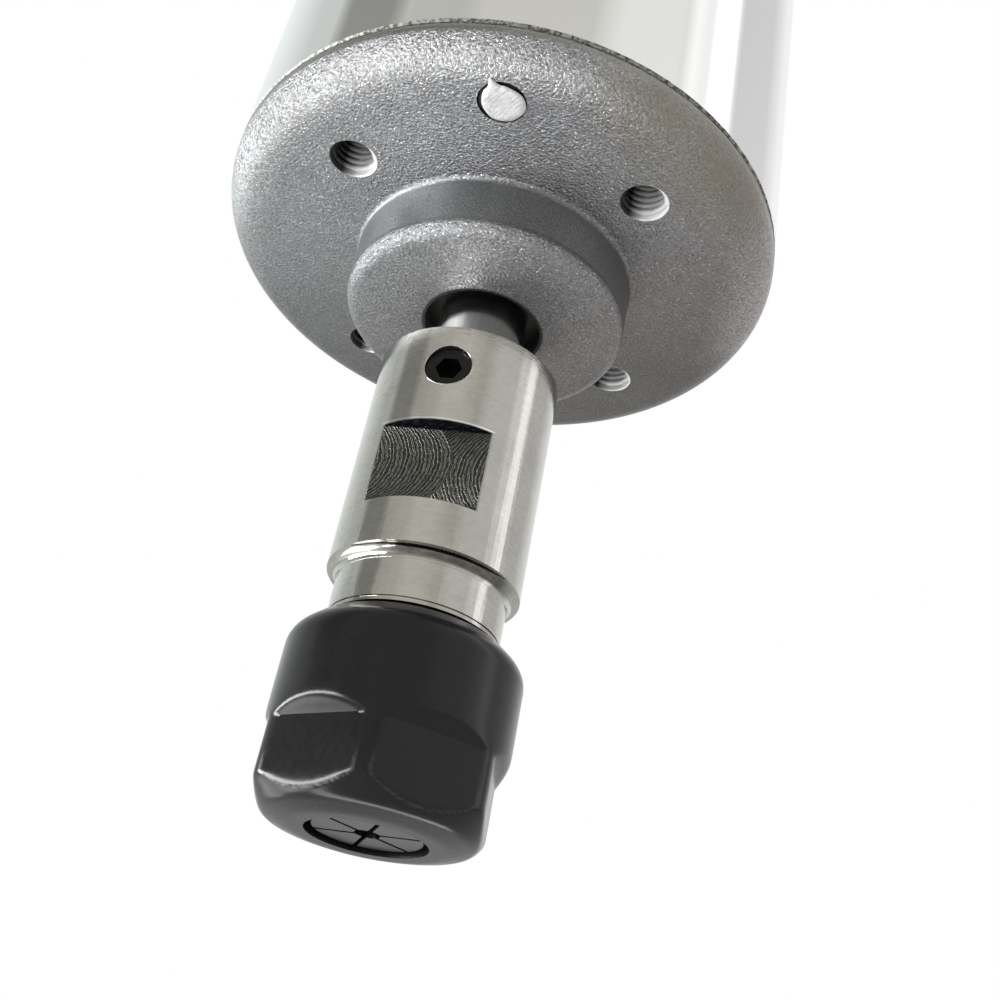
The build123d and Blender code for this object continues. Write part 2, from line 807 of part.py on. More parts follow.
box_start = commutator_diameter / 2 + box_commutator_gap
box_inner_width = brush_width + 2 * brush_side_clearance
box_inner_height = brush_height + 2 * brush_side_clearance
box_floor = brush_level - box_inner_height / 2 - box_wall

with BuildPart() as brush_box_right:
    with BuildSketch(Plane.XY.offset(box_floor)):
        with Locations(((box_start + box_outer_reach) / 2, 0)):
            Rectangle(box_outer_reach - box_start, box_inner_width + 2 * box_wall)
    extrude(amount=plate_front - box_floor)
    with BuildSketch(Plane.XY.offset(plate_front - box_flange_thickness)):
        with Locations(((box_start + box_outer_reach) / 2 + 1, 0)):
            Rectangle(box_outer_reach - box_start - 2, box_flange_width)
        Circle(bore_radius - plate_clearance, mode=Mode.INTERSECT)
    extrude(amount=box_flange_thickness)
    # Brush way, open towards the commutator
    with BuildSketch(facing(0, box_start, brush_level)):
        Rectangle(box_inner_width, box_inner_height)
    extrude(amount=box_outer_reach - box_wall - box_start, mode=Mode.SUBTRACT)
    # Slot for the brush's flexible lead
    with BuildSketch(Plane.XY.offset(box_floor)):
        with Locations((box_start + 2 + pigtail_slot_length / 2, 0)):
            SlotOverall(pigtail_slot_length, pigtail_slot_width)
    extrude(amount=box_wall, mode=Mode.SUBTRACT)

with BuildPart() as brush_box_left:
    add(brush_box_right.part, rotation=(0, 0, 180))

with BuildPart() as brush_right:
    with BuildSketch(facing(0, brush_tip - 1, brush_level)):
        Rectangle(brush_width, brush_height)
    extrude(amount=brush_length + 1)
    with BuildSketch(Plane.XY.offset(commutator_start)):
        Circle(brush_tip)
    extrude(amount=commutator_length, mode=Mode.SUBTRACT)

with BuildPart() as brush_left:
    add(brush_right.part, rotation=(0, 0, 180))

spring_start = brush_tip + brush_length + spring_wire_diameter / 2 + spring_seat_gap
spring_length = box_outer_reach - box_wall - spring_wire_diameter / 2 - spring_seat_gap - spring_start

with BuildPart() as brush_spring_right:
    with BuildLine() as spring_path:
        Helix(
            pitch=spring_length / spring_turns,
            height=spring_length,
            radius=(spring_coil_diameter - spring_wire_diameter) / 2,
            center=(spring_start, 0, brush_level),
            direction=(1, 0, 0),
        )
    with BuildSketch(Plane(origin=spring_path.line @ 0, z_dir=spring_path.line % 0)):
        Circle(spring_wire_diameter / 2)
    sweep()

with BuildPart() as brush_spring_left:
    add(brush_spring_right.part, rotation=(0, 0, 180))

# ---- Supply terminals ----
with BuildPart() as terminal_studs:
    with BuildSketch(Plane.XY.offset(plate_front - link_thickness - stud_head_height)):
        with PolarLocations(post_radius, 2, start_angle=45):
            RegularPolygon(terminal_nut_flats / 2, 6, major_radius=False, rotation=30)
    extrude(amount=stud_head_height)
    with BuildSketch(Plane.XY.offset(plate_front - link_thickness)):
        with PolarLocations(post_radius, 2, start_angle=45):
            Circle(stud_diameter / 2)
    extrude(amount=stud_shoulder - plate_front + link_thickness)
    with BuildSketch(Plane.XY.offset(stud_shoulder)):
        with PolarLocations(post_radius, 2, start_angle=45):
            Circle(stud_end_diameter / 2)
    extrude(amount=stud_end_length)
    chamfer(terminal_studs.edges().filter_by(GeomType.CIRCLE).group_by(Axis.Z)[-1], stud_end_chamfer)

stud_x = post_radius * cos(radians(45))

with BuildSketch() as link_outline:
    with Locations((stud_x, stud_x)):
        Circle(link_width / 2 + link_eye_wall)
    with BuildLine():
        Polyline(
            (stud_x - link_width / 2, stud_x),
            (stud_x - link_width / 2, box_flange_width / 2),
            (stud_x + link_width / 2, box_flange_width / 2),
            (stud_x + link_width / 2, stud_x),
            close=True,
        )
    make_face()
    with Locations((stud_x, stud_x)):
        Circle(stud_hole_radius, mode=Mode.SUBTRACT)

# Copper links from the brush boxes to the studs
with BuildPart() as terminal_links:
    with BuildSketch(Plane.XY.offset(plate_front - link_thickness)):
        with PolarLocations(0, 2):
            add(link_outline.sketch)
    extrude(amount=link_thickness)

with BuildPart() as terminal_plate_nuts:
    with BuildSketch(Plane.XY.offset(plate_back)):
        with PolarLocations(post_radius, 2, start_angle=45):
            RegularPolygon(terminal_nut_flats / 2, 6, major_radius=False, rotation=30)
            Circle(stud_hole_radius, mode=Mode.SUBTRACT)
    extrude(amount=terminal_nut_height)

with BuildPart() as terminal_bushes:
    with BuildSketch(Plane.XY.offset(rear_spigot_start)):
        with PolarLocations(post_radius, 2, start_angle=45):
            Circle(bush_radius)
    extrude(amount=rear_face - rear_spigot_start)
    with BuildSketch(Plane.XY.offset(rear_face)):
        with PolarLocations(post_radius, 2, start_angle=45):
            Circle(bush_flange_diameter / 2)
    extrude(amount=bush_flange_thickness)
    with BuildSketch(Plane.XY.offset(rear_spigot_start)):
        with PolarLocations(post_radius, 2, start_angle=45):
            Circle(stud_hole_radius)
    extrude(amount=rear_face + bush_flange_thickness - rear_spigot_start, mode=Mode.SUBTRACT)

with BuildPart() as terminal_washers:
    with BuildSketch(Plane.XY.offset(cover_end)):
        with PolarLocations(post_radius, 2, start_angle=45):
            Circle(terminal_washer_diameter / 2)
            Circle(stud_hole_radius, mode=Mode.SUBTRACT)
    extrude(amount=terminal_washer_thickness)

with BuildPart() as terminal_nuts:
    with BuildSketch(Plane.XY.offset(cover_end + terminal_washer_thickness)):
        with PolarLocations(post_radius, 2, start_angle=45):
            RegularPolygon(terminal_nut_flats / 2, 6, major_radius=False, rotation=30)
            Circle(stud_hole_radius, mode=Mode.SUBTRACT)
    extrude(amount=terminal_nut_height)

# ---- Fan cover ----
grille_pitch = grille_slot + grille_rib
grille_arcs = [
    ring_segment(start, start + grille_slot, grille_span)
    for start in [grille_inner + i * grille_pitch for i in range(grille_rings)]
]
column_radius = column_diameter / 2

with BuildPart() as fan_cover:
    with BuildSketch(Plane.XY.offset(rear_face)):
        Circle(body_radius)
    extrude(amount=cover_height)
    fillet(rims(fan_cover, body_diameter, cover_end), cover_edge_radius)
    with BuildSketch(Plane.XY.offset(rear_face)):
        Circle(cover_radius)
    extrude(amount=cover_height - cover_top, mode=Mode.SUBTRACT)
    # Columns for the two long screws
    with BuildSketch(Plane.XY.offset(rear_face)):
        with PolarLocations(post_radius, 2, start_angle=135):
            Circle(column_radius)
    extrude(amount=cover_height - cover_top)
    # Air outlets in the top and round the side
    with BuildSketch(Plane.XY.offset(cover_ceiling)):
        with PolarLocations(0, 4):
            for arc in grille_arcs:
                add(arc)
    extrude(amount=cover_top, mode=Mode.SUBTRACT)
    with BuildSketch(*[facing(side + lean * side_slot_pitch, 0, (rear_face + cover_ceiling) / 2)
                       for side in (0, 90, 180, 270) for lean in (-1, 0, 1)]):
        SlotOverall(side_slot_height, side_slot_width, rotation=90)
    extrude(amount=body_diameter, mode=Mode.SUBTRACT)
    with Locations(Plane.XY.offset(cover_end)):
        with PolarLocations(post_radius, 2, start_angle=45):
            Hole(stud_hole_radius)
        with PolarLocations(post_radius, 2, start_angle=135):
            Hole(cover_screw_diameter / 2 + screw_clearance)

with BuildPart() as fan_cover_screws:
    with BuildSketch(Plane.XY.offset(rear_face - cover_screw_engagement)):
        with PolarLocations(post_radius, 2, start_angle=135):
            Circle(cover_screw_diameter / 2)
    extrude(amount=cover_height + cover_screw_engagement)
    with BuildSketch(Plane.XY.offset(cover_end)):
        with PolarLocations(post_radius, 2, start_angle=135):
            Circle(small_head_diameter / 2)
    extrude(amount=small_head_height)
    with BuildSketch(Plane.XY.offset(cover_end + small_head_height - small_slot_depth)):
        with PolarLocations(post_radius, 2, start_angle=135):
            Rectangle(small_slot_width, small_head_diameter)
    extrude(amount=small_slot_depth, mode=Mode.SUBTRACT)

# ---- Collet chuck ----
taper_mouth_radius = collet_rear_radius + (collet_rear - chuck_nose) * taper_slope + taper_clearance

with BuildPart() as chuck_body:
    with BuildSketch(Plane.XZ):
        with BuildLine():
            Polyline(
                (bearing_bore / 2, chuck_rear),
                (chuck_diameter / 2, chuck_rear),
                (chuck_diameter / 2, chuck_shoulder),
                (chuck_diameter / 2 - shoulder_chamfer, chuck_shoulder - shoulder_chamfer),
                (neck_diameter / 2, chuck_shoulder - shoulder_chamfer),
                (neck_diameter / 2, chuck_shoulder - neck_length),
                (relief_diameter / 2, chuck_shoulder - neck_length),
                (relief_diameter / 2, chuck_shoulder - neck_length - relief_width),
                (thread_diameter / 2, chuck_shoulder - neck_length - relief_width),
                (thread_diameter / 2, chuck_nose + nose_chamfer),
                (thread_diameter / 2 - nose_chamfer, chuck_nose),
                (taper_mouth_radius, chuck_nose),
                (collet_rear_radius + taper_clearance, collet_rear),
                (tool_bore_diameter / 2, collet_rear),
                (tool_bore_diameter / 2, chuck_rear - chuck_bore_depth),
                (bearing_bore / 2, chuck_rear - chuck_bore_depth),
                close=True,
            )
        make_face()
    revolve(axis=Axis.Z)
    # Two wrench flats, milled with square ends
    with BuildSketch(*[facing(angle, wrench_flats / 2, wrench_flat_middle) for angle in wrench_sides]):
        Rectangle(chuck_diameter, wrench_flat_length)
    extrude(amount=chuck_diameter, mode=Mode.SUBTRACT)
    # Tapped holes for the set screws
    with BuildSketch(facing(wrench_angle, 0, set_screw_level)):
        Circle(set_screw_diameter / 2)
    extrude(amount=chuck_diameter, both=True, mode=Mode.SUBTRACT)

set_screw_tip = shaft_flat_distance
set_screw_top = chuck_diameter / 2 - set_screw_sink
set_screw_planes = [facing(angle, set_screw_tip, set_screw_level) for angle in wrench_sides]
socket_planes = [
    facing(angle, set_screw_top - set_screw_socket_depth, set_screw_level)
    for angle in wrench_sides
]

with BuildPart() as chuck_set_screws:
    with BuildSketch(*set_screw_planes):
        Circle(set_screw_diameter / 2 - set_screw_clearance)
    extrude(amount=set_screw_top - set_screw_tip)
    with BuildSketch(*socket_planes):
        RegularPolygon(set_screw_socket / 2, 6, major_radius=False)
    extrude(amount=set_screw_socket_depth, mode=Mode.SUBTRACT)

# Spring collet: 8 degree body, face cone, extraction groove and slits from both ends
collet_rim_radius = collet_face_diameter / 2 + collet_face_length * tan(radians(collet_face_angle))
rear_slit_angle = collet_slit_angle + 180 / collet_slit_count

with BuildPart() as spring_collet:
    with BuildSketch(Plane.XZ):
        with BuildLine():
            Polyline(
                (collet_bore_diameter / 2, collet_front),
                (collet_face_diameter / 2, collet_front),
                (collet_rim_radius, collet_rim_start),
                (collet_rim_radius, collet_groove_start),
                (collet_groove_diameter / 2, collet_groove_start),
                (collet_groove_diameter / 2, collet_taper_start),
                (collet_head_diameter / 2, collet_taper_start),
                (collet_rear_radius, collet_rear),
                (collet_bore_diameter / 2, collet_rear),
                close=True,
            )
        make_face()
    revolve(axis=Axis.Z)
    with BuildSketch(Plane.XY.offset(collet_front)):
        with PolarLocations(collet_head_diameter / 2, collet_slit_count, start_angle=collet_slit_angle):
            Rectangle(collet_head_diameter, collet_slit_width)
    extrude(amount=collet_length - collet_rear_web, mode=Mode.SUBTRACT)
    with BuildSketch(Plane.XY.offset(collet_rear)):
        with PolarLocations(collet_head_diameter / 2, collet_slit_count, start_angle=rear_slit_angle):
            Rectangle(collet_head_diameter, collet_slit_width)
    extrude(amount=collet_front_web - collet_length, mode=Mode.SUBTRACT)

# Nut: round body with six flats, inner face cone and offset extraction ring
face_slope = tan(radians(collet_face_angle))
nut_bore_radius = thread_diameter / 2 + nut_thread_clearance
ring_level = collet_groove_start + (collet_groove_width - ring_width) / 2
ring_blank_radius = ring_hole_diameter / 2 - ring_offset - ring_cut_allowance
cone_mouth = collet_front + (nut_hole_diameter / 2 - collet_face_diameter / 2 - nut_cone_gap) / face_slope
cone_end_radius = collet_rim_radius + nut_cone_gap

with BuildPart() as collet_nut:
    with BuildSketch(Plane.XZ):
        with BuildLine():
            Polyline(
                (nut_hole_diameter / 2, nut_front),
                (nut_front_face_diameter / 2, nut_front),
                (nut_crown_diameter / 2, nut_front + nut_crown_drop),
                (nut_diameter / 2, nut_front + nut_crown_drop + nut_front_chamfer),
                (nut_diameter / 2, nut_rear - nut_rear_bevel),
                (nut_rear_face_diameter / 2, nut_rear),
                (nut_bore_radius, nut_rear),
                (nut_bore_radius, nut_rear - nut_thread_depth),
                (nut_relief_diameter / 2, nut_rear - nut_thread_depth),
                (nut_relief_diameter / 2, ring_level + ring_width),
                (ring_blank_radius, ring_level + ring_width),
                (ring_blank_radius, ring_level),
                (nut_relief_diameter / 2, ring_level),
                (nut_relief_diameter / 2, collet_rim_start),
                (cone_end_radius, collet_rim_start),
                (nut_hole_diameter / 2, cone_mouth),
                close=True,
            )
        make_face()
    revolve(axis=Axis.Z)
    fillet(rims(collet_nut, nut_diameter, nut_rear - nut_rear_bevel), nut_rear_radius)
    # Hole of the extraction ring, offset so that the collet snaps in when tilted
    with BuildSketch(Plane.XY.offset(ring_level)):
        with Locations((ring_offset, 0)):
            Circle(ring_hole_diameter / 2)
    extrude(amount=ring_width, mode=Mode.SUBTRACT)
    # Six wrench flats that run out upwards
    with BuildSketch(*[meridian(nut_flat_angle + 60 * i) for i in range(6)]):
        with BuildLine():
            Polyline(
                (nut_flats / 2, nut_front - 1),
                (nut_flats / 2, nut_front + nut_flat_length),
                (nut_diameter / 2 + 0.1, nut_front + nut_flat_length + nut_runout),
                (nut_diameter, nut_front + nut_flat_length + nut_runout),
                (nut_diameter, nut_front - 1),
                close=True,
            )
        make_face()
    extrude(amount=nut_diameter / 2, both=True, mode=Mode.SUBTRACT)

# ---- Export ----
nodes = {
    "housing_tube": housing_tube,
    "front_end_cap": front_end_cap,
    "rear_end_cap": rear_end_cap,
    "tie_bolts": tie_bolts,
    "tie_bolt_washers": tie_bolt_washers,
    "field_magnet_left": field_magnet_left,
    "field_magnet_right": field_magnet_right,
    "magnet_clips": magnet_clips,
    "front_bearing_outer_ring": front_bearing_outer_ring,
    "front_bearing_inner_ring": front_bearing_inner_ring,
    "front_bearing_balls": front_bearing_balls,
    "front_bearing_cage": front_bearing_cage,
    "front_bearing_shields": front_bearing_shields,
    "rear_bearing_outer_ring": rear_bearing_outer_ring,
    "rear_bearing_inner_ring": rear_bearing_inner_ring,
    "rear_bearing_balls": rear_bearing_balls,
    "rear_bearing_cage": rear_bearing_cage,
    "rear_bearing_shields": rear_bearing_shields,
    "preload_washer": preload_washer,
    "motor_shaft": motor_shaft,
    "armature_core": armature_core,
    "armature_end_plates": armature_end_plates,
    "armature_windings": armature_windings,
    "commutator_bars": commutator_bars,
    "commutator_hub": commutator_hub,
    "cooling_fan": cooling_fan,
    "fan_clip": fan_clip,
    "brush_plate": brush_plate,
    "brush_plate_screws": brush_plate_screws,
    "brush_box_left": brush_box_left,
    "brush_box_right": brush_box_right,
    "brush_left": brush_left,
    "brush_right": brush_right,
    "brush_spring_left": brush_spring_left,
    "brush_spring_right": brush_spring_right,
    "terminal_studs": terminal_studs,
    "terminal_links": terminal_links,
    "terminal_plate_nuts": terminal_plate_nuts,
    "terminal_bushes": terminal_bushes,
    "terminal_washers": terminal_washers,
    "terminal_nuts": terminal_nuts,
    "fan_cover": fan_cover,
    "fan_cover_screws": fan_cover_screws,
    "chuck_body": chuck_body,
    "chuck_set_screws": chuck_set_screws,
    "spring_collet": spring_collet,
    "collet_nut": collet_nut,
}

os.makedirs("parts", exist_ok=True)
for label, node in nodes.items():
    node.part.label = label
    export_step(node.part, f"parts/{label}.step")
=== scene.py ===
"""Air-cooled motor spindle with a collet chuck: finishes, fine detail, light and camera."""

import json
from math import atan2, cos, pi, radians, sin, sqrt

import bmesh
import bpy
from mathutils import Matrix, Vector


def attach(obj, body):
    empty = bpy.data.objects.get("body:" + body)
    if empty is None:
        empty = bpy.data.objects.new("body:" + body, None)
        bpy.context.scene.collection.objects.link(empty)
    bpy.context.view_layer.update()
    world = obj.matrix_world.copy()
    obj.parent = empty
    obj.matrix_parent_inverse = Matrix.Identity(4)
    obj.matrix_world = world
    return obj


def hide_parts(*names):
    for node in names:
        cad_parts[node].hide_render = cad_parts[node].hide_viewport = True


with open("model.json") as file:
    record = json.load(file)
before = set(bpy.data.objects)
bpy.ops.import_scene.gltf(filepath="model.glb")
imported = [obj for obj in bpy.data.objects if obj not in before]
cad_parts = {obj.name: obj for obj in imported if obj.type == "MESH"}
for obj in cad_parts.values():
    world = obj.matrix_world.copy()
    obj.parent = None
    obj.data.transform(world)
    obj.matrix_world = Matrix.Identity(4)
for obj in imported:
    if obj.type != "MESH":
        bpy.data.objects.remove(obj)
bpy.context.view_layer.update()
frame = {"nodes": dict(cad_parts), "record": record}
nodes = frame["nodes"]
MM = 0.001

# Sizes in millimetres in the shared frame, with Z up the spindle. Angles are in radians.
BODY_RADIUS = 26.0
RIM_HEIGHT = 3.6
BOSS_FACE, BOSS_RADIUS = -6.2, 13.0
SHAFT_HOLE = 5.4
MOUNT_CIRCLE, MOUNT_RADIUS, MOUNT_PITCH = 18.0, 2.02, 0.7
DRILL_MIDDLE, DRILL_LENGTH, DRILL_SIDES = 4.5, 12, 40
TIE_BOLT_CIRCLE = 21.3
CHUCK_RADIUS = 8.0
FLAT_DISTANCE = 6.5
FLAT_LOW, FLAT_HIGH = -29.4, -22.0
FLAT_ANGLE = radians(261.5)
SCREW_LEVEL = -16.5
LIP_RADIUS, LIP_THICK = 2.03, 0.06
SHOULDER, HOLLOW_RADIUS = -33.3, 0.96
NECK_RADIUS = 7.0
GROOVE_LEVEL, GROOVE_BOTTOM = -37.56, 6.86
THREAD_START, CHUCK_NOSE = -38.5, -50.2
THREAD_ROOT, THREAD_PITCH = 6.58, 0.75
NUT_FRONT, NUT_REAR = -53.95, -38.4
NUT_RADIUS, NUT_BORE, NUT_HOLE = 9.5, 7.05, 4.7
NUT_MOUTH_END, NUT_POCKET_FRONT, NUT_THREAD_END = -52.87, -52.0, -50.4
NUT_POCKET_RADIUS, NUT_RING_RADIUS = 6.2, 4.45
NUT_RING_FRONT, NUT_RING_REAR = -51.45, -51.05
NUT_REAR_RADIUS, NUT_FRONT_RADIUS, NUT_FACE_RADIUS = 7.75, 8.05, 6.1
NUT_FLAT_DISTANCE, NUT_FLAT_TOP, NUT_RUN_OUT_SLOPE = 8.5, -47.6, 1.05
NUT_FLAT_ANGLE = radians(238.2)
NUT_INSIDE = 7.35  # nothing on the nut within this radius is cut by its flats
NUT_EDGE = 0.26
STUD_CIRCLE, STUD_RADIUS, STUD_PITCH = 19.6, 1.78, 0.7
COVER_END = 145.0
FLOOR_LEVEL, FLOOR_RADIUS = -0.105, 3.0  # metres


# ---- Node trees and shader maths ----
class Wire:
    """A number socket. Arithmetic on it adds Math nodes to its graph."""

    def __init__(self, graph, socket):
        self.graph, self.socket = graph, socket

    def __add__(self, other):
        return self.graph.maths("ADD", self, other)

    def __sub__(self, other):
        return self.graph.maths("SUBTRACT", self, other)

    def __rsub__(self, other):
        return self.graph.maths("SUBTRACT", other, self)

    def __mul__(self, other):
        return self.graph.maths("MULTIPLY", self, other)

    def __truediv__(self, other):
        return self.graph.maths("DIVIDE", self, other)

    def __rtruediv__(self, other):
        return self.graph.maths("DIVIDE", other, self)

    __radd__, __rmul__ = __add__, __mul__

    def sine(self):
        return self.graph.maths("SINE", self)

    def size(self):
        return self.graph.maths("ABSOLUTE", self)

    def fraction(self):
        return self.graph.maths("FRACT", self)

    def root(self):
        return self.graph.maths("SQRT", self)

    def or_more(self, other):
        return self.graph.maths("MAXIMUM", self, other)

    def or_less(self, other):
        return self.graph.maths("MINIMUM", self, other)

    def above(self, limit, blur):
        """Rises from 0 to 1 as the value passes limit, over a width of blur."""
        return self.graph.maths("MULTIPLY", self - (limit - blur / 2), 1 / blur, clamp=True)

    def below(self, limit, blur):
        return 1 - self.above(limit, blur)

    def within(self, low, high, blur):
        return self.above(low, blur) * self.below(high, blur)


class Graph:
    """A node tree that is built one node at a time."""

    def __init__(self, tree):
        self.tree = tree
        tree.nodes.clear()

    def node(self, kind, settings=None, sockets=None, output=0):
        """Adds a node: its settings first, then its sockets' values or links. Returns one output."""
        made = self.tree.nodes.new(kind)
        for key, value in (settings or {}).items():
            setattr(made, key, value)
        for key, value in (sockets or {}).items():
            if isinstance(value, Wire):
                self.tree.links.new(value.socket, made.inputs[key])
            else:
                made.inputs[key].default_value = value
        return Wire(self, made.outputs[output]) if made.outputs else None

    def maths(self, operation, *values, clamp=False):
        settings = {"operation": operation, "use_clamp": clamp}
        return self.node("ShaderNodeMath", settings, dict(enumerate(values)))

    def vector(self, x=0.0, y=0.0, z=0.0):
        return self.node("ShaderNodeCombineXYZ", sockets={0: x, 1: y, 2: z})

    def colours(self, amount, dark, light):
        settings = {"data_type": "RGBA", "clamp_factor": True}
        dark, light = [c if isinstance(c, Wire) else (*c, 1.0) for c in (dark, light)]
        return self.node("ShaderNodeMix", settings, {0: amount, 6: dark, 7: light}, output=2)


class Finish(Graph):
    """A procedural material. Places on the piece are read in millimetres."""

    def __init__(self, name):
        self.material = bpy.data.materials.new(name)
        self.material.use_nodes = True
        super().__init__(self.material.node_tree)
        place = self.node("ShaderNodeTexCoord", output="Object")
        self.place = self.node("ShaderNodeVectorMath", {"operation": "SCALE"}, {0: place, "Scale": 1000.0})
        self.x, self.y, self.z = [
            self.node("ShaderNodeSeparateXYZ", sockets={0: self.place}, output=axis) for axis in "XYZ"
        ]
        self.radius = (self.x * self.x + self.y * self.y).root()
        self.angle = self.maths("ARCTAN2", self.y, self.x)

    def noise(self, scale, detail=3.0, roughness=0.5, place=None):
        sockets = {"Vector": place or self.place, "Scale": scale, "Detail": detail, "Roughness": roughness}
        return self.node("ShaderNodeTexNoise", sockets=sockets, output="Fac")

    def cells(self, scale):
        sockets = {"Vector": self.place, "Scale": scale}
        return self.node("ShaderNodeTexVoronoi", sockets=sockets, output="Distance")

    def near(self, x, y, z, reach):
        """1 at a place, falling to 0 at reach from it."""
        ends = {0: self.place, 1: (x, y, z)}
        gap = self.node("ShaderNodeVectorMath", {"operation": "DISTANCE"}, ends, output="Value")
        return self.maths("SUBTRACT", 1, gap / reach, clamp=True)

    def turning(self, fine=9.0):
        """Fine tool marks round the spindle axis, on round and on flat faces."""
        lines = self.vector(self.radius * fine, self.z * fine, self.angle.sine() * 0.6)
        return self.noise(1.0, 2.0, 0.6, lines)

    def shell(self, color, roughness, metallic=0.0, height=None, depth=0.02, **fixed):
        """Closes the material with a Principled shader; depth is the bump height in millimetres."""
        sockets = {"Base Color": color, "Roughness": roughness, "Metallic": metallic}
        sockets.update({key.replace("_", " "): value for key, value in fixed.items()})
        if height is not None:
            bump = {"Distance": depth * MM, "Height": height}
            sockets["Normal"] = self.node("ShaderNodeBump", sockets=bump)
        if not isinstance(color, Wire):
            sockets["Base Color"] = (*color, 1.0)
        surface = self.node("ShaderNodeBsdfPrincipled", sockets=sockets)
        self.node("ShaderNodeOutputMaterial", sockets={"Surface": surface})
        return self.material


# ---- Finishes ----
def blasted_casting():
    """Bead-blasted die casting: grain that fades to the lower side, soiling and a few scratches, with painted
    sparkle specks, painted light and shade across the face and rim, and painted shade in the holes.
    """
    f = Finish("blasted_casting")
    grain = f.noise(4.4, 3.0, 0.6) * 0.8 + f.cells(3.6) * 0.2
    cloud = f.noise(0.07, 3.0, 0.6)
    blotch = f.noise(0.35, 3.0, 0.6)
    wall = f.z.within(BOSS_FACE + 1.3, -0.3, 0.5) * f.radius.above(BOSS_RADIUS - 0.1, 0.1)
    band = f.z.within(RIM_HEIGHT - 0.9, RIM_HEIGHT + 0.9, 0.5)
    # The grain is crisp and the painted sparkle strong towards -Y, less on the boss wall and the rim band
    crisp_grain_and_painted_sparkle = (0.55 - f.y * 0.03).or_more(0.2).or_less(1.0) * (1 - wall * 0.75) * (1 - band * 0.85)
    side = (f.x * 0.03 + f.y * 0.01 + (cloud - 0.5) * 0.8 + 0.45).or_more(0.0).or_less(1.0)
    plain = f.colours(side, (0.32, 0.335, 0.345), (0.36, 0.335, 0.325))
    # Painted light makes the cap paler towards -Y, and painted shade darkens it towards +X and +Y
    plain = f.colours(f.y.below(-10.0, 22.0), plain, (0.41, 0.42, 0.435))
    plain = f.colours((f.y + f.x * 0.4).above(6.0, 22.0) * 0.6, plain, (0.12, 0.12, 0.115))
    # Painted highlights on the rim: on the right, and on the upper left where lit_rim is 1
    plain = f.colours(f.x.above(22.5, 4.0) * f.y.below(8.0, 8.0) * 0.8, plain, (0.58, 0.55, 0.545))
    lit_rim = f.radius.above(22.6, 2.0) * f.y.below(0.0, 16.0) * f.x.below(14.0, 12.0)
    plain = f.colours(lit_rim * 0.8, plain, (0.56, 0.57, 0.58))
    tone = f.colours((grain - 0.5) * 2.2 + (blotch - 0.5) * 0.4 + 0.66, (0.09, 0.09, 0.09), plain)
    # Painted sparkle highlights: bright specks, strongest towards -Y where the grain is crisp
    tone = f.colours(f.cells(2.6).below(0.17, 0.1) * crisp_grain_and_painted_sparkle * 0.7, tone, (0.92, 0.93, 0.94))
    tone = f.colours(wall * 0.6, tone, (0.22, 0.225, 0.225))
    soiled = f.near(11.0, -22.5, 1.5, 6.0) + f.near(16.0, -18.5, 1.5, 7.0) + f.near(20.5, -13.5, 1.5, 6.0)
    tone = f.colours((soiled * 1.5 * blotch).or_less(0.7), tone, (0.26, 0.23, 0.18))
    tone = f.colours(band * 0.6, tone, (0.27, 0.27, 0.23))
    seam = f.z.within(RIM_HEIGHT - 0.42, RIM_HEIGHT + 0.4, 0.12) * f.radius.above(25.0, 0.2)
    crust = f.colours(f.noise(2.6, 4.0, 0.8).above(0.54, 0.12), (0.012, 0.012, 0.01), (0.20, 0.19, 0.16))
    tone = f.colours(seam, tone, crust)
    scratch = f.noise(1.0, 2.0, 0.5, f.vector(f.x * 0.25 + f.y * 0.1, f.y * 6.0 - f.x * 2.0, f.z))
    scratch = scratch.above(0.66, 0.05) * f.near(-13.0, 12.5, 0.0, 6.0)
    tone = f.colours(scratch * 0.6, tone, (0.7, 0.7, 0.7))
    # Painted shade inside the shaft hole. Each tapped hole has painted shade on one side and painted light on
    # the other.
    bore = f.radius.below(SHAFT_HOLE + 0.3, 0.2)
    tapped, painted_lit_side = tapped_places(f)
    tone = f.colours(tapped, tone, f.colours(painted_lit_side, (0.02, 0.02, 0.02), (0.85, 0.85, 0.85)))
    tone = f.colours(bore, tone, (0.012, 0.012, 0.012))
    dull = (bore + seam + tapped).or_less(1.0)
    rough = 0.24 + (cloud - 0.5) * 0.14 + (1 - crisp_grain_and_painted_sparkle) * 0.16 + dull * 0.4
    return f.shell(tone, rough, 0.95 - dull * 0.85, grain * crisp_grain_and_painted_sparkle, 0.3)


def tapped_places(f):
    """Two masks: 1 in the tapped holes, and 1 on the side of each hole that gets painted light."""
    spot = MOUNT_CIRCLE * cos(radians(45))
    across, along = f.x.size() - spot, f.y.size() - spot
    inside = (across * across + along * along).root().below(MOUNT_RADIUS + 0.1, 0.04)
    lit = (f.x + spot).above(-0.5, 1.3) * f.x.below(0.0, 1.0) + (f.x - spot).above(-0.5, 1.3)
    return inside, lit


def tapped_thread():
    """Thread cut in the casting, with painted light on one side and painted shade on the other."""
    f = Finish("tapped_thread")
    scuff = f.noise(3.0, 3.0, 0.6)
    lit = tapped_places(f)[1]
    tone = f.colours(scuff, (0.70, 0.70, 0.70), (0.95, 0.95, 0.95))
    # Painted light: pale and less metallic on the lit side; painted shade: near black on the other side
    tone = f.colours(lit, (0.05, 0.05, 0.05), tone)
    return f.shell(tone, 0.3 + scuff * 0.12, 0.9 - lit * 0.8, scuff, 0.02)


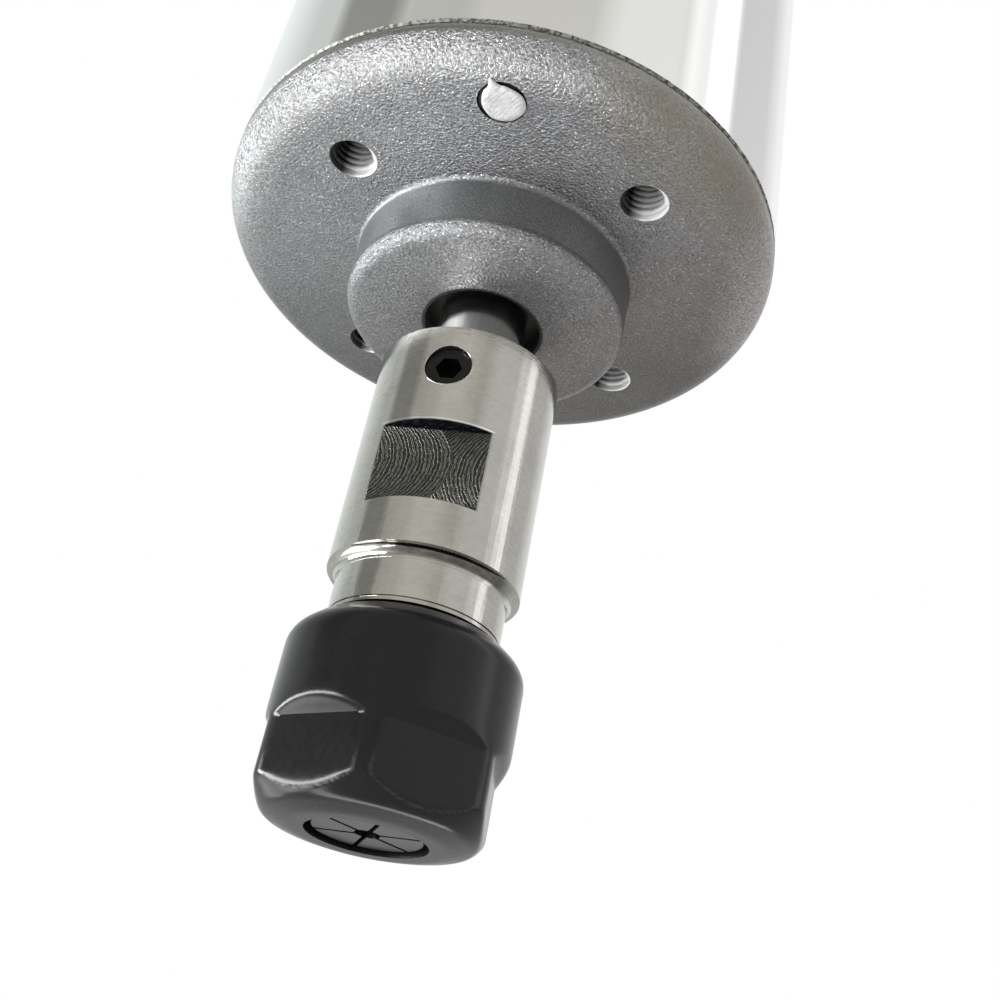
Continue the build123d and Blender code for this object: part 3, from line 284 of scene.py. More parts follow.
def chrome_tube():
    """Polished chrome, slightly wavy, with dirt at the end that meets the cap."""
    f = Finish("chrome_tube")
    wave = f.noise(0.05, 2.0, 0.5, f.vector(f.x, f.y, f.z * 0.12))
    haze = f.noise(0.9, 4.0, 0.7)
    tone = f.colours(wave, (0.86, 0.88, 0.87), (0.94, 0.95, 0.94))
    end = f.z.below(RIM_HEIGHT + 0.22, 0.06)
    crust = f.colours(f.noise(2.4, 4.0, 0.8).above(0.5, 0.15), (0.06, 0.06, 0.055), (0.42, 0.42, 0.40))
    tone = f.colours(end, tone, crust)
    return f.shell(tone, 0.03 + haze.above(0.6, 0.3) * 0.04 + end * 0.45, 1.0 - end * 0.4, wave, 0.03)


def turned_steel(name, dark, light, rough, depth):
    """Steel with fine turning lines."""
    f = Finish(name)
    lines = f.turning()
    cloud = f.noise(0.25, 3.0, 0.55)
    tone = f.colours((lines - 0.5) * 1.2 + (cloud - 0.5) * 0.9 + 0.5, dark, light)
    return f.shell(tone, rough + (lines - 0.5) * 0.16 + (cloud - 0.5) * 0.12, 1.0, lines, depth)


def satin_chuck():
    """Turned steel, with end-milled wrench flats covered in curved cutter marks."""
    f = Finish("satin_chuck")
    lines = f.turning(7.0)
    cloud = f.noise(0.3, 3.0, 0.55)
    smear = f.noise(1.2, 4.0, 0.6, f.vector(f.x * 0.9, f.y * 0.9, f.z * 3.0))
    fleck = f.noise(2.2, 4.0, 0.7)
    mottle = (lines - 0.5) * 0.3 + (cloud - 0.5) * 1.0 + (smear - 0.5) * 0.9 + (fleck - 0.5) * 0.9 + 0.5
    tone = f.colours(mottle, (0.42, 0.42, 0.385), (0.60, 0.595, 0.56))
    # Painted reflections: a darker and a paler streak along the chuck
    for start, stop, colour in ((-1.32, -0.88, (0.37, 0.365, 0.34)), (-1.9, -1.45, (0.76, 0.75, 0.70))):
        tone = f.colours(f.angle.within(start, stop, 0.16) * 0.35, tone, colour)
    # Across the flat and along the axis, measured from the middle of the flat
    across = f.y * cos(FLAT_ANGLE) - f.x * sin(FLAT_ANGLE)
    along = f.z - (FLAT_LOW + FLAT_HIGH) / 2
    milled = f.radius.below(CHUCK_RADIUS - 0.08, 0.04) * f.z.within(FLAT_LOW - 0.01, FLAT_HIGH + 0.01, 0.02)
    milled = milled * f.radius.above(FLAT_DISTANCE - 0.1, 0.05)
    # The cutter leaves the same arc again and again as it is fed across
    wobble = f.noise(1.4, 3.0, 0.6)

    def bulge(radius, middle):
        """How far an arc with its centre at this height bulges."""
        rise = along - middle
        return (radius * radius - rise * rise).or_more(0.02).root()

    arc_left = across - bulge(radius=4.4, middle=0.35) + wobble * 0.14
    arc_right = across + bulge(radius=4.8, middle=-0.1) + wobble * 0.14
    right_side = (arc_left + 2.55).above(0.0, 0.12)
    arcs = arc_left + (arc_right - arc_left) * right_side
    swirl = ((arcs * 19.0 + wobble * 6.0).sine() * 0.5 + 0.5) * 0.55
    swirl = swirl + ((arcs * 43.0 + wobble * 9.0).sine() * 0.5 + 0.5) * 0.45
    broken = f.noise(3.4, 4.0, 0.75)
    ridge = swirl * (broken * 1.2 + 0.1)
    milled_tone = f.colours(ridge.above(0.5, 0.5), (0.03, 0.03, 0.027), (0.30, 0.30, 0.275))
    # Painted shade makes the end walls of the flats near black, with lighter scraped streaks
    end_wall = f.z.above(FLAT_HIGH - 0.06, 0.04) + f.z.below(FLAT_LOW + 0.06, 0.04)
    scraped = f.noise(1.0, 4.0, 0.7, f.vector(across * 1.4, f.radius * 4.0, 0.0)).above(0.58, 0.1)
    shaded_wall_tone = f.colours(scraped * 0.5, (0.01, 0.011, 0.016), (0.16, 0.17, 0.19))
    milled_tone = f.colours(end_wall, milled_tone, shaded_wall_tone)
    # Painted shade along the lower edge of each flat, wider to one side
    lower_edge_shade = (f.z - (across - 1.0) * 0.1).below(FLAT_LOW + 0.2, 0.5)
    milled_tone = f.colours(lower_edge_shade * 0.8, milled_tone, (0.02, 0.02, 0.018))
    tone = f.colours(milled, tone, milled_tone)
    # A thin worn rim along the top of each flat
    rim = f.z.within(FLAT_HIGH + 0.03, FLAT_HIGH + 0.18, 0.03) * across.size().below(4.7, 0.3)
    tone = f.colours(rim * smear.above(0.3, 0.2) * 0.8, tone, (0.92, 0.92, 0.90))
    # Painted shade in the gap behind the nut, and a painted dark reflection in the corner under the shoulder
    # on one side
    groove = f.z.within(THREAD_START, GROOVE_LEVEL - 0.14, 0.12) * f.radius.below(NECK_RADIUS, 0.1)
    tone = f.colours(groove * 0.8, tone, (0.05, 0.05, 0.045))
    shoulder_dark_reflection = f.z.within(SHOULDER - 0.75, SHOULDER + 0.02, 0.3)
    shoulder_dark_reflection = shoulder_dark_reflection * f.radius.within(NECK_RADIUS, CHUCK_RADIUS - 0.05, 0.1)
    shoulder_dark_reflection = shoulder_dark_reflection * f.near(3.5, -8.0, SHOULDER, 7.5).above(0.15, 0.3) * (smear * 0.8 + 0.5).or_less(1.0)
    tone = f.colours(shoulder_dark_reflection * 0.85, tone, (0.05, 0.047, 0.04))
    rough = 0.09 + (lines - 0.5) * 0.04 + (cloud - 0.5) * 0.06 + (fleck - 0.5) * 0.05
    rough = rough + milled * (0.32 + end_wall * 0.2)
    cutter_marks = swirl * 4.0 * (1 - end_wall) + broken * 2.5
    height = lines * 0.12 + fleck * 0.3 + smear * 0.5 + milled * cutter_marks
    return f.shell(tone, rough, 1.0, height, 0.012)


def black_oxide():
    """Oiled black oxide over steel, rubbed bright in nicks along one arc and paler on the front face."""
    f = Finish("black_oxide")
    grain = f.noise(2.4, 4.0, 0.65)
    cloud = f.noise(0.22, 3.0, 0.6)
    mottle = (grain - 0.5) * 1.2 + (cloud - 0.5) * 1.2 + 0.5
    tone = f.colours(mottle, (0.0028, 0.0031, 0.0034), (0.008, 0.008, 0.0083))
    lilac = f.x.above(3.0, 9.0)
    tone = f.colours(lilac * 0.7, tone, (0.013, 0.0105, 0.0135))
    front = f.z.below(NUT_FRONT + 0.3, 0.4)
    tone = f.colours(front * 0.7, tone, (0.009, 0.0075, 0.0098))
    worn = f.node("ShaderNodeAttribute", {"attribute_name": "worn"}, output="Fac")
    nicks = f.noise(1.6, 4.0, 0.75)
    rubbed = f.near(-6.0, -6.6, -51.6, 6.0).above(0.1, 0.3) * f.z.below(-50.6, 0.8)
    edge = (worn * nicks.above(0.42, 0.2) * (rubbed + f.z.below(-50.0, 1.0) * 0.05)).or_less(1.0)
    tone = f.colours(edge * 0.6, tone, (0.30, 0.31, 0.33))
    rough = 0.2 + (cloud - 0.5) * 0.08 + (grain - 0.5) * 0.08 + front * 0.08
    return f.shell(tone, rough, edge * 0.5, grain, 0.007, IOR=1.38)


def oiled_screw():
    """Near-black glossy set screw."""
    f = Finish("oiled_screw")
    grain = f.noise(3.0, 3.0, 0.6)
    tone = f.colours(grain, (0.0015, 0.0015, 0.0015), (0.007, 0.007, 0.0065))
    return f.shell(tone, 0.1 + grain * 0.14, 0.0, grain, 0.03, IOR=1.33)


def grained(name, dark, light, rough, metallic, scale, depth):
    """Plain grain for hidden and moulded pieces."""
    f = Finish(name)
    grain = f.noise(scale, 4.0, 0.6)
    cloud = f.noise(scale * 0.08, 2.0, 0.5)
    tone = f.colours((grain - 0.5) * 1.4 + (cloud - 0.5) + 0.5, dark, light)
    return f.shell(tone, rough + (grain - 0.5) * 0.2, metallic, grain, depth)


def stacked_laminations():
    """Thin sheets stacked along the spindle, two to a millimetre."""
    f = Finish("stacked_laminations")
    sheets = (f.z * 2.0).fraction()
    grain = f.noise(2.0, 3.0, 0.6)
    joint = sheets.below(0.14, 0.08)
    tone = f.colours((grain - 0.5) * 1.2 + 0.5, (0.14, 0.14, 0.15), (0.27, 0.27, 0.28))
    tone = f.colours(joint * 0.8, tone, (0.04, 0.04, 0.045))
    return f.shell(tone, 0.42 + (grain - 0.5) * 0.2, 0.9, grain * 0.3 - joint, 0.03)


def plated_bolt():
    """Plated bolt, with painted shade in the gap round its front end."""
    f = Finish("plated_bolt")
    grain = f.noise(2.0, 3.0, 0.6)
    tone = f.colours((grain - 0.5) * 1.4 + 0.5, (0.42, 0.42, 0.42), (0.66, 0.66, 0.64))
    # Painted shade: dark round the bolt's front end, where the gap is in shadow
    tone = f.colours(f.z.below(0.3, 0.1) * f.radius.above(18.0, 0.2), tone, (0.06, 0.06, 0.055))
    return f.shell(tone, 0.3 + (grain - 0.5) * 0.2, 1.0, grain, 0.01)


def peened_end():
    """Bright end of a bolt, hammered and filed in place."""
    f = Finish("peened_end")
    scuff = f.noise(1.0, 4.0, 0.7, f.vector(f.x * 5.0 + f.y * 4.0, f.y * 0.9 - f.x * 0.7, f.z))
    dents = f.noise(1.6, 3.0, 0.6)
    tone = f.colours((scuff - 0.5) * 2.4 + 0.6, (0.50, 0.50, 0.51), (0.94, 0.94, 0.94))
    tone = f.colours(dents.above(0.62, 0.08) * 0.4, tone, (0.40, 0.40, 0.40))
    return f.shell(tone, 0.4 + scuff * 0.16, 0.55, scuff * 0.6 + dents * 0.4, 0.08)


# Dark colour, light colour, roughness, metallic, grain scale and bump depth
GRAINED = {
    "ferrite": ((0.03, 0.03, 0.035), (0.08, 0.08, 0.085), 0.7, 0.0, 1.6, 0.03),
    "spring_steel": ((0.16, 0.17, 0.20), (0.34, 0.35, 0.37), 0.34, 1.0, 2.0, 0.01),
    "cage_steel": ((0.42, 0.40, 0.36), (0.60, 0.58, 0.52), 0.36, 1.0, 1.4, 0.01),
    "fibre": ((0.22, 0.035, 0.02), (0.40, 0.08, 0.05), 0.7, 0.0, 1.2, 0.02),
    "copper": ((0.45, 0.17, 0.08), (0.68, 0.33, 0.18), 0.32, 1.0, 0.8, 0.02),
    "phenolic": ((0.035, 0.02, 0.012), (0.09, 0.055, 0.035), 0.45, 0.0, 1.0, 0.02),
    "black_plastic": ((0.012, 0.012, 0.013), (0.028, 0.028, 0.03), 0.5, 0.0, 3.0, 0.03),
    "brass": ((0.52, 0.36, 0.12), (0.76, 0.58, 0.26), 0.28, 1.0, 1.2, 0.01),
    "carbon": ((0.02, 0.02, 0.02), (0.06, 0.06, 0.06), 0.55, 0.0, 2.5, 0.03),
}
# Dark colour, light colour, roughness and bump depth
TURNED = {
    "bright_steel": ((0.45, 0.45, 0.44), (0.68, 0.68, 0.66), 0.3, 0.004),
    "bearing_steel": ((0.55, 0.55, 0.55), (0.72, 0.72, 0.72), 0.16, 0.002),
    "shaft_steel": ((0.50, 0.50, 0.49), (0.74, 0.74, 0.72), 0.18, 0.003),
    # The collet's tones are far darker than bare steel: painted shade for the collet deep in the nut's hole
    "collet_steel": ((0.05, 0.05, 0.052), (0.15, 0.15, 0.15), 0.34, 0.01),
}
finishes = {
    "tube_chrome": chrome_tube(),
    "cast_aluminium": blasted_casting(),
    "lamination_steel": stacked_laminations(),
    "chuck_steel": satin_chuck(),
    "black_oxide": black_oxide(),
}
finishes.update({name: grained(name, *values) for name, values in GRAINED.items()})
finishes.update({name: turned_steel(name, *values) for name, values in TURNED.items()})
for part in frame["record"]["subparts"]:
    shown = nodes[part["node"]]
    shown.data.materials.clear()
    shown.data.materials.append(finishes[part["material_slot"]])
nodes["tie_bolts"].data.materials[0] = plated_bolt()
nodes["chuck_set_screws"].data.materials[0] = oiled_screw()
# Painted shade: the front bearing's rings and shields are made near black, as they sit in shadow in the shaft
# hole
bearing_painted_shade = grained("greased_steel", (0.012, 0.011, 0.01), (0.05, 0.045, 0.04), 0.45, 0.2, 1.0, 0.02)
for node in ("front_bearing_inner_ring", "front_bearing_outer_ring", "front_bearing_shields"):
    nodes[node].data.materials[0] = bearing_painted_shade


# ---- Making pieces ----
def keep(name, mesh, body, material, replaced=()):
    """Puts a finished mesh in the scene as a piece that rides on a body."""
    mesh.name = name
    mesh.materials.clear()
    mesh.materials.append(material)
    made = bpy.data.objects.new(name, mesh)
    bpy.context.scene.collection.objects.link(made)
    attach(made, body)
    if replaced:
        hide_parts(*replaced)


def merged(node):
    """A copy of a CAD piece's mesh with its corners joined."""
    mesh = nodes[node].data.copy()
    if "custom_normal" in mesh.attributes:
        mesh.attributes.remove(mesh.attributes["custom_normal"])
    form = bmesh.new()
    form.from_mesh(mesh)
    bmesh.ops.remove_doubles(form, verts=form.verts, dist=0.002 * MM)
    form.to_mesh(mesh)
    form.free()
    return mesh


def written(form):
    """A new mesh with what is in a bmesh, which is then freed."""
    mesh = bpy.data.meshes.new("written")
    form.to_mesh(mesh)
    form.free()
    return mesh


def joined(*meshes):
    """One mesh with several meshes' faces."""
    form = bmesh.new()
    for mesh in meshes:
        form.from_mesh(mesh)
    return written(form)


def skin(rings):
    """Closed mesh through rings of points in millimetres, with the last ring joined to the first."""
    form = bmesh.new()
    rings = [[form.verts.new([value * MM for value in point]) for point in ring] for ring in rings]
    count = len(rings[0])
    for low, high in zip(rings, rings[1:] + rings[:1]):
        for i in range(count):
            j = (i + 1) % count
            form.faces.new((low[i], low[j], high[j], high[i]))
    bmesh.ops.recalc_face_normals(form, faces=form.faces)
    return written(form)


def lathe(outline, steps, radius_at=None):
    """Closed ring turned from a closed outline of (radius, height)."""
    rings = []
    for radius, height in outline:
        rings.append([])
        for i in range(steps):
            angle = 2 * pi * i / steps
            reach = radius_at(radius, angle, height) if radius_at else radius
            rings[-1].append((reach * cos(angle), reach * sin(angle), height))
    return skin(rings)


def cut(mesh, cutter):
    """Takes one mesh out of another."""
    whole = bpy.data.objects.new("whole", mesh)
    tool = bpy.data.objects.new("tool", cutter)
    for each in (whole, tool):
        bpy.context.scene.collection.objects.link(each)
    taking = whole.modifiers.new("taking", "BOOLEAN")
    taking.operation, taking.solver, taking.object = "DIFFERENCE", "EXACT", tool
    graph = bpy.context.evaluated_depsgraph_get()
    result = bpy.data.meshes.new_from_object(whole.evaluated_get(graph))
    bpy.data.objects.remove(whole)
    bpy.data.objects.remove(tool)
    return result


def smooth(mesh, angle=30):
    mesh.shade_smooth()
    mesh.set_sharp_from_angle(angle=radians(angle))
    return mesh


# ---- Geometry node trees ----
class Pattern(Graph):
    """A geometry tree with named inputs. It ends in Realize Instances and Set Material."""

    KINDS = {float: "NodeSocketFloat", int: "NodeSocketInt", bpy.types.Material: "NodeSocketMaterial"}

    def __init__(self, name, **inputs):
        super().__init__(bpy.data.node_groups.new(name, "GeometryNodeTree"))
        self.name = name
        self.tree.interface.new_socket("Geometry", in_out="OUTPUT", socket_type="NodeSocketGeometry")
        self.values, self.keys = {}, {}
        group = self.tree.nodes.new("NodeGroupInput")
        for label, value in {**inputs, "Material": finishes["bright_steel"]}.items():
            kind = bpy.types.Material if label == "Material" else type(value)
            made = self.tree.interface.new_socket(label, in_out="INPUT", socket_type=self.KINDS[kind])
            if label != "Material":
                made.default_value = value
            self.keys[label] = made.identifier
        for socket in group.outputs[:-1]:
            self.values[socket.name] = Wire(self, socket)

    def close(self, geometry):
        real = self.node("GeometryNodeRealizeInstances", sockets={0: geometry})
        sockets = {"Geometry": real, "Material": self.values["Material"]}
        painted = self.node("GeometryNodeSetMaterial", sockets=sockets)
        self.node("NodeGroupOutput", sockets={0: painted})
        return self

    def grow(self, material, **inputs):
        """A plain mesh made by the tree with these input values."""
        empty = bpy.data.meshes.new(self.name)
        seed = bpy.data.objects.new(self.name, empty)
        bpy.context.scene.collection.objects.link(seed)
        modifier = seed.modifiers.new(self.name, "NODES")
        modifier.node_group = self.tree
        for label, value in {**inputs, "Material": material}.items():
            modifier[self.keys[label.replace("_", " ")]] = value
        graph = bpy.context.evaluated_depsgraph_get()
        mesh = bpy.data.meshes.new_from_object(seed.evaluated_get(graph))
        seed.modifiers.remove(modifier)
        bpy.data.objects.remove(seed)
        return mesh


def thread_ridges():
    """Helical ridges of diamond section, one for each hole or rod on a circle."""
    g = Pattern("thread_ridges", Copies=1, Circle=0.0, Turn=0.0, Start=0.0, Length=8.0, Radius=2.0, Pitch=0.7,
                Ridge=0.3, Steps=24)
    v = g.values
    radius = v["Radius"] * MM
    spiral = g.node("GeometryNodeCurveSpiral", sockets={
        "Resolution": v["Steps"], "Rotations": v["Length"] / v["Pitch"], "Start Radius": radius,
        "End Radius": radius, "Height": v["Length"] * MM, "Reverse": False})
    level = g.node("GeometryNodeSetCurveNormal", {"mode": "Z_UP"}, {0: spiral})
    diamond = {"Resolution": 4, "Radius": v["Ridge"] * MM}
    section = g.node("GeometryNodeCurvePrimitiveCircle", sockets=diamond)
    swept = {"Curve": level, "Profile Curve": section, "Fill Caps": True}
    ridge = g.node("GeometryNodeCurveToMesh", sockets=swept)
    angle = g.node("GeometryNodeInputIndex") / v["Copies"] * (2 * pi) + v["Turn"]
    across = g.maths("COSINE", angle) * v["Circle"] * MM
    along = angle.sine() * v["Circle"] * MM
    spot = g.vector(across, along, v["Start"] * MM)
    spots = g.node("GeometryNodePoints", sockets={"Count": v["Copies"], "Position": spot})
    return g.close(g.node("GeometryNodeInstanceOnPoints", sockets={"Points": spots, "Instance": ridge}))


def seam_burrs():
    """Specks of flash and dirt round a seam, of random size."""
    g = Pattern("seam_burrs", Radius=BODY_RADIUS, Level=RIM_HEIGHT, Count=150, Speck=0.2, Seed=7)
    v = g.values
    index = g.node("GeometryNodeInputIndex")

    def random(low, high, salt):
        return g.node("FunctionNodeRandomValue", {"data_type": "FLOAT"},
                      {2: low, 3: high, "ID": index, "Seed": v["Seed"] + salt}, output=1)

    angle = random(0.0, 2 * pi, 0)
    reach = (v["Radius"] - v["Speck"] - random(0.0, 0.16, 1)) * MM
    height = (v["Level"] + random(-0.12, 0.16, 2)) * MM
    spot = g.vector(g.maths("COSINE", angle) * reach, angle.sine() * reach, height)
    spots = g.node("GeometryNodePoints", sockets={"Count": v["Count"], "Position": spot})
    speck = g.node("GeometryNodeMeshIcoSphere", sockets={"Radius": v["Speck"] * MM, "Subdivisions": 1})
    scale = g.vector(random(0.25, 0.9, 3), random(0.25, 0.9, 4), random(0.2, 0.7, 5))
    turn = g.vector(random(0.0, 3.0, 6), random(0.0, 3.0, 7), angle)
    return g.close(g.node("GeometryNodeInstanceOnPoints", sockets={
        "Points": spots, "Instance": speck, "Rotation": turn, "Scale": scale}))


ridges = thread_ridges()


# ---- Front cap with its tapped holes ----
drills = bmesh.new()
for i in range(4):
    turn = radians(45 + 90 * i)
    spot = (MOUNT_CIRCLE * cos(turn) * MM, MOUNT_CIRCLE * sin(turn) * MM, DRILL_MIDDLE * MM)
    bmesh.ops.create_cone(drills, cap_ends=True, segments=DRILL_SIDES, radius1=MOUNT_RADIUS * MM,
                          radius2=MOUNT_RADIUS * MM, depth=DRILL_LENGTH * MM, matrix=Matrix.Translation(spot))
cap = smooth(cut(merged("front_end_cap"), written(drills)))
keep("front_cap_casting", cap, "housing", finishes["cast_aluminium"], ["front_end_cap"])
tapped = tapped_thread()
thread = ridges.grow(tapped, Copies=4, Circle=MOUNT_CIRCLE, Turn=radians(45), Start=0.35, Length=8.2,
                     Radius=MOUNT_RADIUS + 0.01, Pitch=MOUNT_PITCH, Ridge=0.34)
keep("mount_threads", thread, "housing", tapped)

# ---- Chuck with its thread, the hollow under its shoulder and a groove behind the nut ----
chuck_steel = finishes["chuck_steel"]
thread_front, thread_rear = CHUCK_NOSE + 0.55, THREAD_START - 0.25
# Sections of what is turned away: down to the thread's root, the round hollow and the groove
beyond = CHUCK_RADIUS + 1.0
ring = [
    (THREAD_ROOT, thread_front), (beyond, thread_front), (beyond, thread_rear), (THREAD_ROOT, thread_rear)]
hollow = []
for i in range(36):
    turn = radians(10 * i)
    level = SHOULDER - HOLLOW_RADIUS + HOLLOW_RADIUS * sin(turn)
    hollow.append((CHUCK_RADIUS + HOLLOW_RADIUS * cos(turn), level))
groove_top = NECK_RADIUS + 0.3
groove = [
    (GROOVE_BOTTOM, GROOVE_LEVEL + 0.04), (groove_top, GROOVE_LEVEL + 0.12),
    (groove_top, GROOVE_LEVEL - 0.12), (GROOVE_BOTTOM, GROOVE_LEVEL - 0.04)]
chuck = cut(merged("chuck_body"), lathe(ring, steps=96))
chuck = cut(cut(chuck, lathe(hollow, steps=128)), lathe(groove, steps=128))
keep("chuck_turning", smooth(chuck), "rotor", chuck_steel, ["chuck_body"])
thread = ridges.grow(chuck_steel, Start=CHUCK_NOSE + 0.8, Length=10.6, Radius=THREAD_ROOT, Pitch=THREAD_PITCH,
                     Ridge=0.36, Steps=96)
keep("chuck_thread", smooth(thread, angle=40), "rotor", chuck_steel)


def hole_lip(angle, steps=96, beads=8):
    """A thin rounded rim round a set-screw hole in the chuck's side."""
    rings = []
    for k in range(beads):
        bead = 2 * pi * k / beads
        reach = LIP_RADIUS + LIP_THICK * cos(bead)
        rings.append([])
        for i in range(steps):
            turn = 2 * pi * i / steps
            across, up = reach * cos(turn), reach * sin(turn)
            out = sqrt(CHUCK_RADIUS ** 2 - across ** 2) - LIP_THICK * 0.45 + LIP_THICK * sin(bead)
            rings[-1].append((out * cos(angle) - across * sin(angle), out * sin(angle) + across * cos(angle),
                              SCREW_LEVEL + up))
    return skin(rings)


lips = joined(hole_lip(FLAT_ANGLE), hole_lip(FLAT_ANGLE + pi))
keep("screw_hole_lips", smooth(lips, angle=80), "rotor", chuck_steel)


# ---- Collet nut: round body, six flats with run-outs, all edges a little worn ----
def softer(a, b, width):
    """The lesser of two lengths, with the change from one to the other rounded."""
    return (a + b - sqrt((a - b) ** 2 + width * width)) / 2


def flat_radius(angle, height):
    """Distance of the nearest wrench flat, or of its run-out, from the axis."""
    distance = NUT_FLAT_DISTANCE + max(0.0, height - NUT_FLAT_TOP) * NUT_RUN_OUT_SLOPE
    turn = (angle - NUT_FLAT_ANGLE) % radians(60)
    return distance / cos(min(turn, radians(60) - turn))


def nut_radius(radius, angle, height):
    """Radius of the nut's surface where its turned outline has this radius."""
    return radius if radius < NUT_INSIDE else softer(radius, flat_radius(angle, height), NUT_EDGE)


def nut_wear(x, y, height):
    """1 where a flat meets the turned surface."""
    radius = sqrt(x * x + y * y)
    gap = flat_radius(atan2(y, x), height) - radius
    return 0.0 if radius < NUT_INSIDE else max(0.0, 1 - abs(gap - NUT_EDGE / 2) / 0.05)


def rounded(outline, steps=6):
    """Rounds the corners of an open outline of (radius, height, length taken off each side)."""
    made = [outline[0][:2]]
    for before, here, after in zip(outline, outline[1:], outline[2:]):
        width = here[2]
        before, here, after = Vector(before[:2]), Vector(here[:2]), Vector(after[:2])
        start = here + (before - here).normalized() * width
        end = here + (after - here).normalized() * width
        for i in range(steps + 1):
            t = i / steps
            made.append(tuple(start * (1 - t) ** 2 + here * 2 * t * (1 - t) + end * t * t))
    return made + [outline[-1][:2]]


def divided(outline, gap):
    """Adds points along the runs of an outline so that none is longer than gap."""
    made = []
    for (r0, z0), (r1, z1) in zip(outline, outline[1:]):
        count = max(1, int(sqrt((r1 - r0) ** 2 + (z1 - z0) ** 2) / gap))
        made += [(r0 + (r1 - r0) * i / count, z0 + (z1 - z0) * i / count) for i in range(count)]
    return made + [outline[-1]]


outside = rounded([
    (NUT_BORE, NUT_REAR, 0), (NUT_REAR_RADIUS, NUT_REAR, 0.3), (NUT_RADIUS, NUT_REAR - 1.6, 0.9),
    (NUT_RADIUS, NUT_FRONT + 2.15, 0.3), (NUT_FRONT_RADIUS, NUT_FRONT + 0.45, 0.5),
    (NUT_FACE_RADIUS, NUT_FRONT, 0.5), (NUT_HOLE, NUT_FRONT, 0)])
inside = [
    (NUT_HOLE, NUT_FRONT + 0.1), (NUT_HOLE, NUT_MOUTH_END), (5.2, NUT_POCKET_FRONT),
    (NUT_POCKET_RADIUS, NUT_POCKET_FRONT), (NUT_POCKET_RADIUS, NUT_RING_FRONT),
    (NUT_RING_RADIUS, NUT_RING_FRONT), (NUT_RING_RADIUS, NUT_RING_REAR), (NUT_POCKET_RADIUS, NUT_RING_REAR),
    (NUT_POCKET_RADIUS, NUT_THREAD_END), (NUT_BORE, NUT_THREAD_END)]
nut = smooth(lathe(divided(outside, gap=0.2) + inside, steps=420, radius_at=nut_radius), angle=35)
marks = nut.attributes.new("worn", "FLOAT", "POINT")
for corner, mark in zip(nut.vertices, marks.data):
    mark.value = nut_wear(*(corner.co / MM))
keep("nut_milled", nut, "nut", finishes["black_oxide"], ["collet_nut"])
thread = ridges.grow(finishes["black_oxide"], Start=NUT_THREAD_END + 0.1, Length=11.6, Radius=NUT_BORE + 0.01,
                     Pitch=THREAD_PITCH, Ridge=0.3, Steps=72)
keep("nut_thread", smooth(thread, angle=40), "nut", finishes["black_oxide"])

# ---- Threads of the supply studs ----
thread = ridges.grow(finishes["brass"], Copies=2, Circle=STUD_CIRCLE, Turn=radians(45), Start=COVER_END + 3.8,
                     Length=4.6, Radius=STUD_RADIUS, Pitch=STUD_PITCH, Ridge=0.21, Steps=20)
keep("stud_thread", smooth(thread, angle=40), "housing", finishes["brass"])


# ---- Hammered ends of the tie bolts, each with a burr ----
HEAD_RADIUS = 1.7
BURR_ANGLE, BURR_SPREAD, BURR_LENGTH = radians(243), radians(20), 0.42


def end_outline(radius, angle, height):
    """An irregular round with one pointed burr."""
    ragged = 1 + 0.035 * sin(2 * angle + 0.6) + 0.03 * sin(3 * angle + 2.0) + 0.012 * sin(7 * angle)
    burr = max(0.0, 1 - abs((angle - BURR_ANGLE + pi) % (2 * pi) - pi) / BURR_SPREAD)
    return radius * (ragged + BURR_LENGTH * burr * burr * (radius / HEAD_RADIUS) ** 3)


def peened_head(x, y, turn):
    """One bolt end, with a dented crown and a rolled edge."""
    crown = [(0.02, -0.24), (0.5, -0.27), (1.0, -0.24), (1.3, -0.26), (1.6, -0.24), (1.74, -0.17),
             (1.79, -0.06), (HEAD_RADIUS, 0.05), (1.0, 0.08), (0.02, 0.08)]
    head = lathe(crown, steps=96, radius_at=end_outline)
    head.transform(Matrix.Translation((x * MM, y * MM, 0)) @ Matrix.Rotation(turn, 4, "Z"))
    return head


first_head = peened_head(0.12, -TIE_BOLT_CIRCLE + 0.02, turn=0.0)
second_head = peened_head(-0.1, TIE_BOLT_CIRCLE + 0.05, turn=2.4)
heads = smooth(joined(first_head, second_head), angle=50)
keep("tie_bolt_ends", heads, "housing", peened_end())

# ---- Seam round the front cap ----
dirt = grained("seam_dirt", (0.02, 0.02, 0.018), (0.16, 0.15, 0.13), 0.6, 0.3, 3.0, 0.02)
keep("seam_flash", seam_burrs().grow(dirt), "housing", dirt)

# ---- Floor, light and camera ----
bpy.ops.mesh.primitive_circle_add(vertices=96, radius=FLOOR_RADIUS, fill_type="NGON",
                                  location=(0, 0, FLOOR_LEVEL))
floor = bpy.context.object
floor.name = "floor"
paper = bpy.data.materials.new("pale_floor")
paper.use_nodes = True
paper_inputs = paper.node_tree.nodes["Principled BSDF"].inputs
paper_inputs["Base Color"].default_value = (0.8, 0.8, 0.8, 1)
paper_inputs["Roughness"].default_value = 0.9
floor.data.materials.append(paper)

# The studio: a soft wall of light round the object, with brighter and darker panels in it.
# Each panel is (direction in degrees, half width, blur, change of level).
WALL_LEVEL = 0.65
PANELS = [(196, 15, 8, -0.33), (228, 15, 10, -0.10), (122, 22, 40, 0.28), (321, 20, 14, 0.22),
          (354, 14, 6, 0.36), (0, 6, 5, 0.6), (26, 18, 10, 0.05), (68, 20, 20, 0.30)]
world = bpy.data.worlds.new("studio")
world.use_nodes = True
bpy.context.scene.world = world
studio = Graph(world.node_tree)
way = studio.node("ShaderNodeTexCoord", output="Generated")
east, north, high = [studio.node("ShaderNodeSeparateXYZ", sockets={0: way}, output=axis) for axis in "XYZ"]
flat_length = (east * east + north * north).root().or_more(0.001)


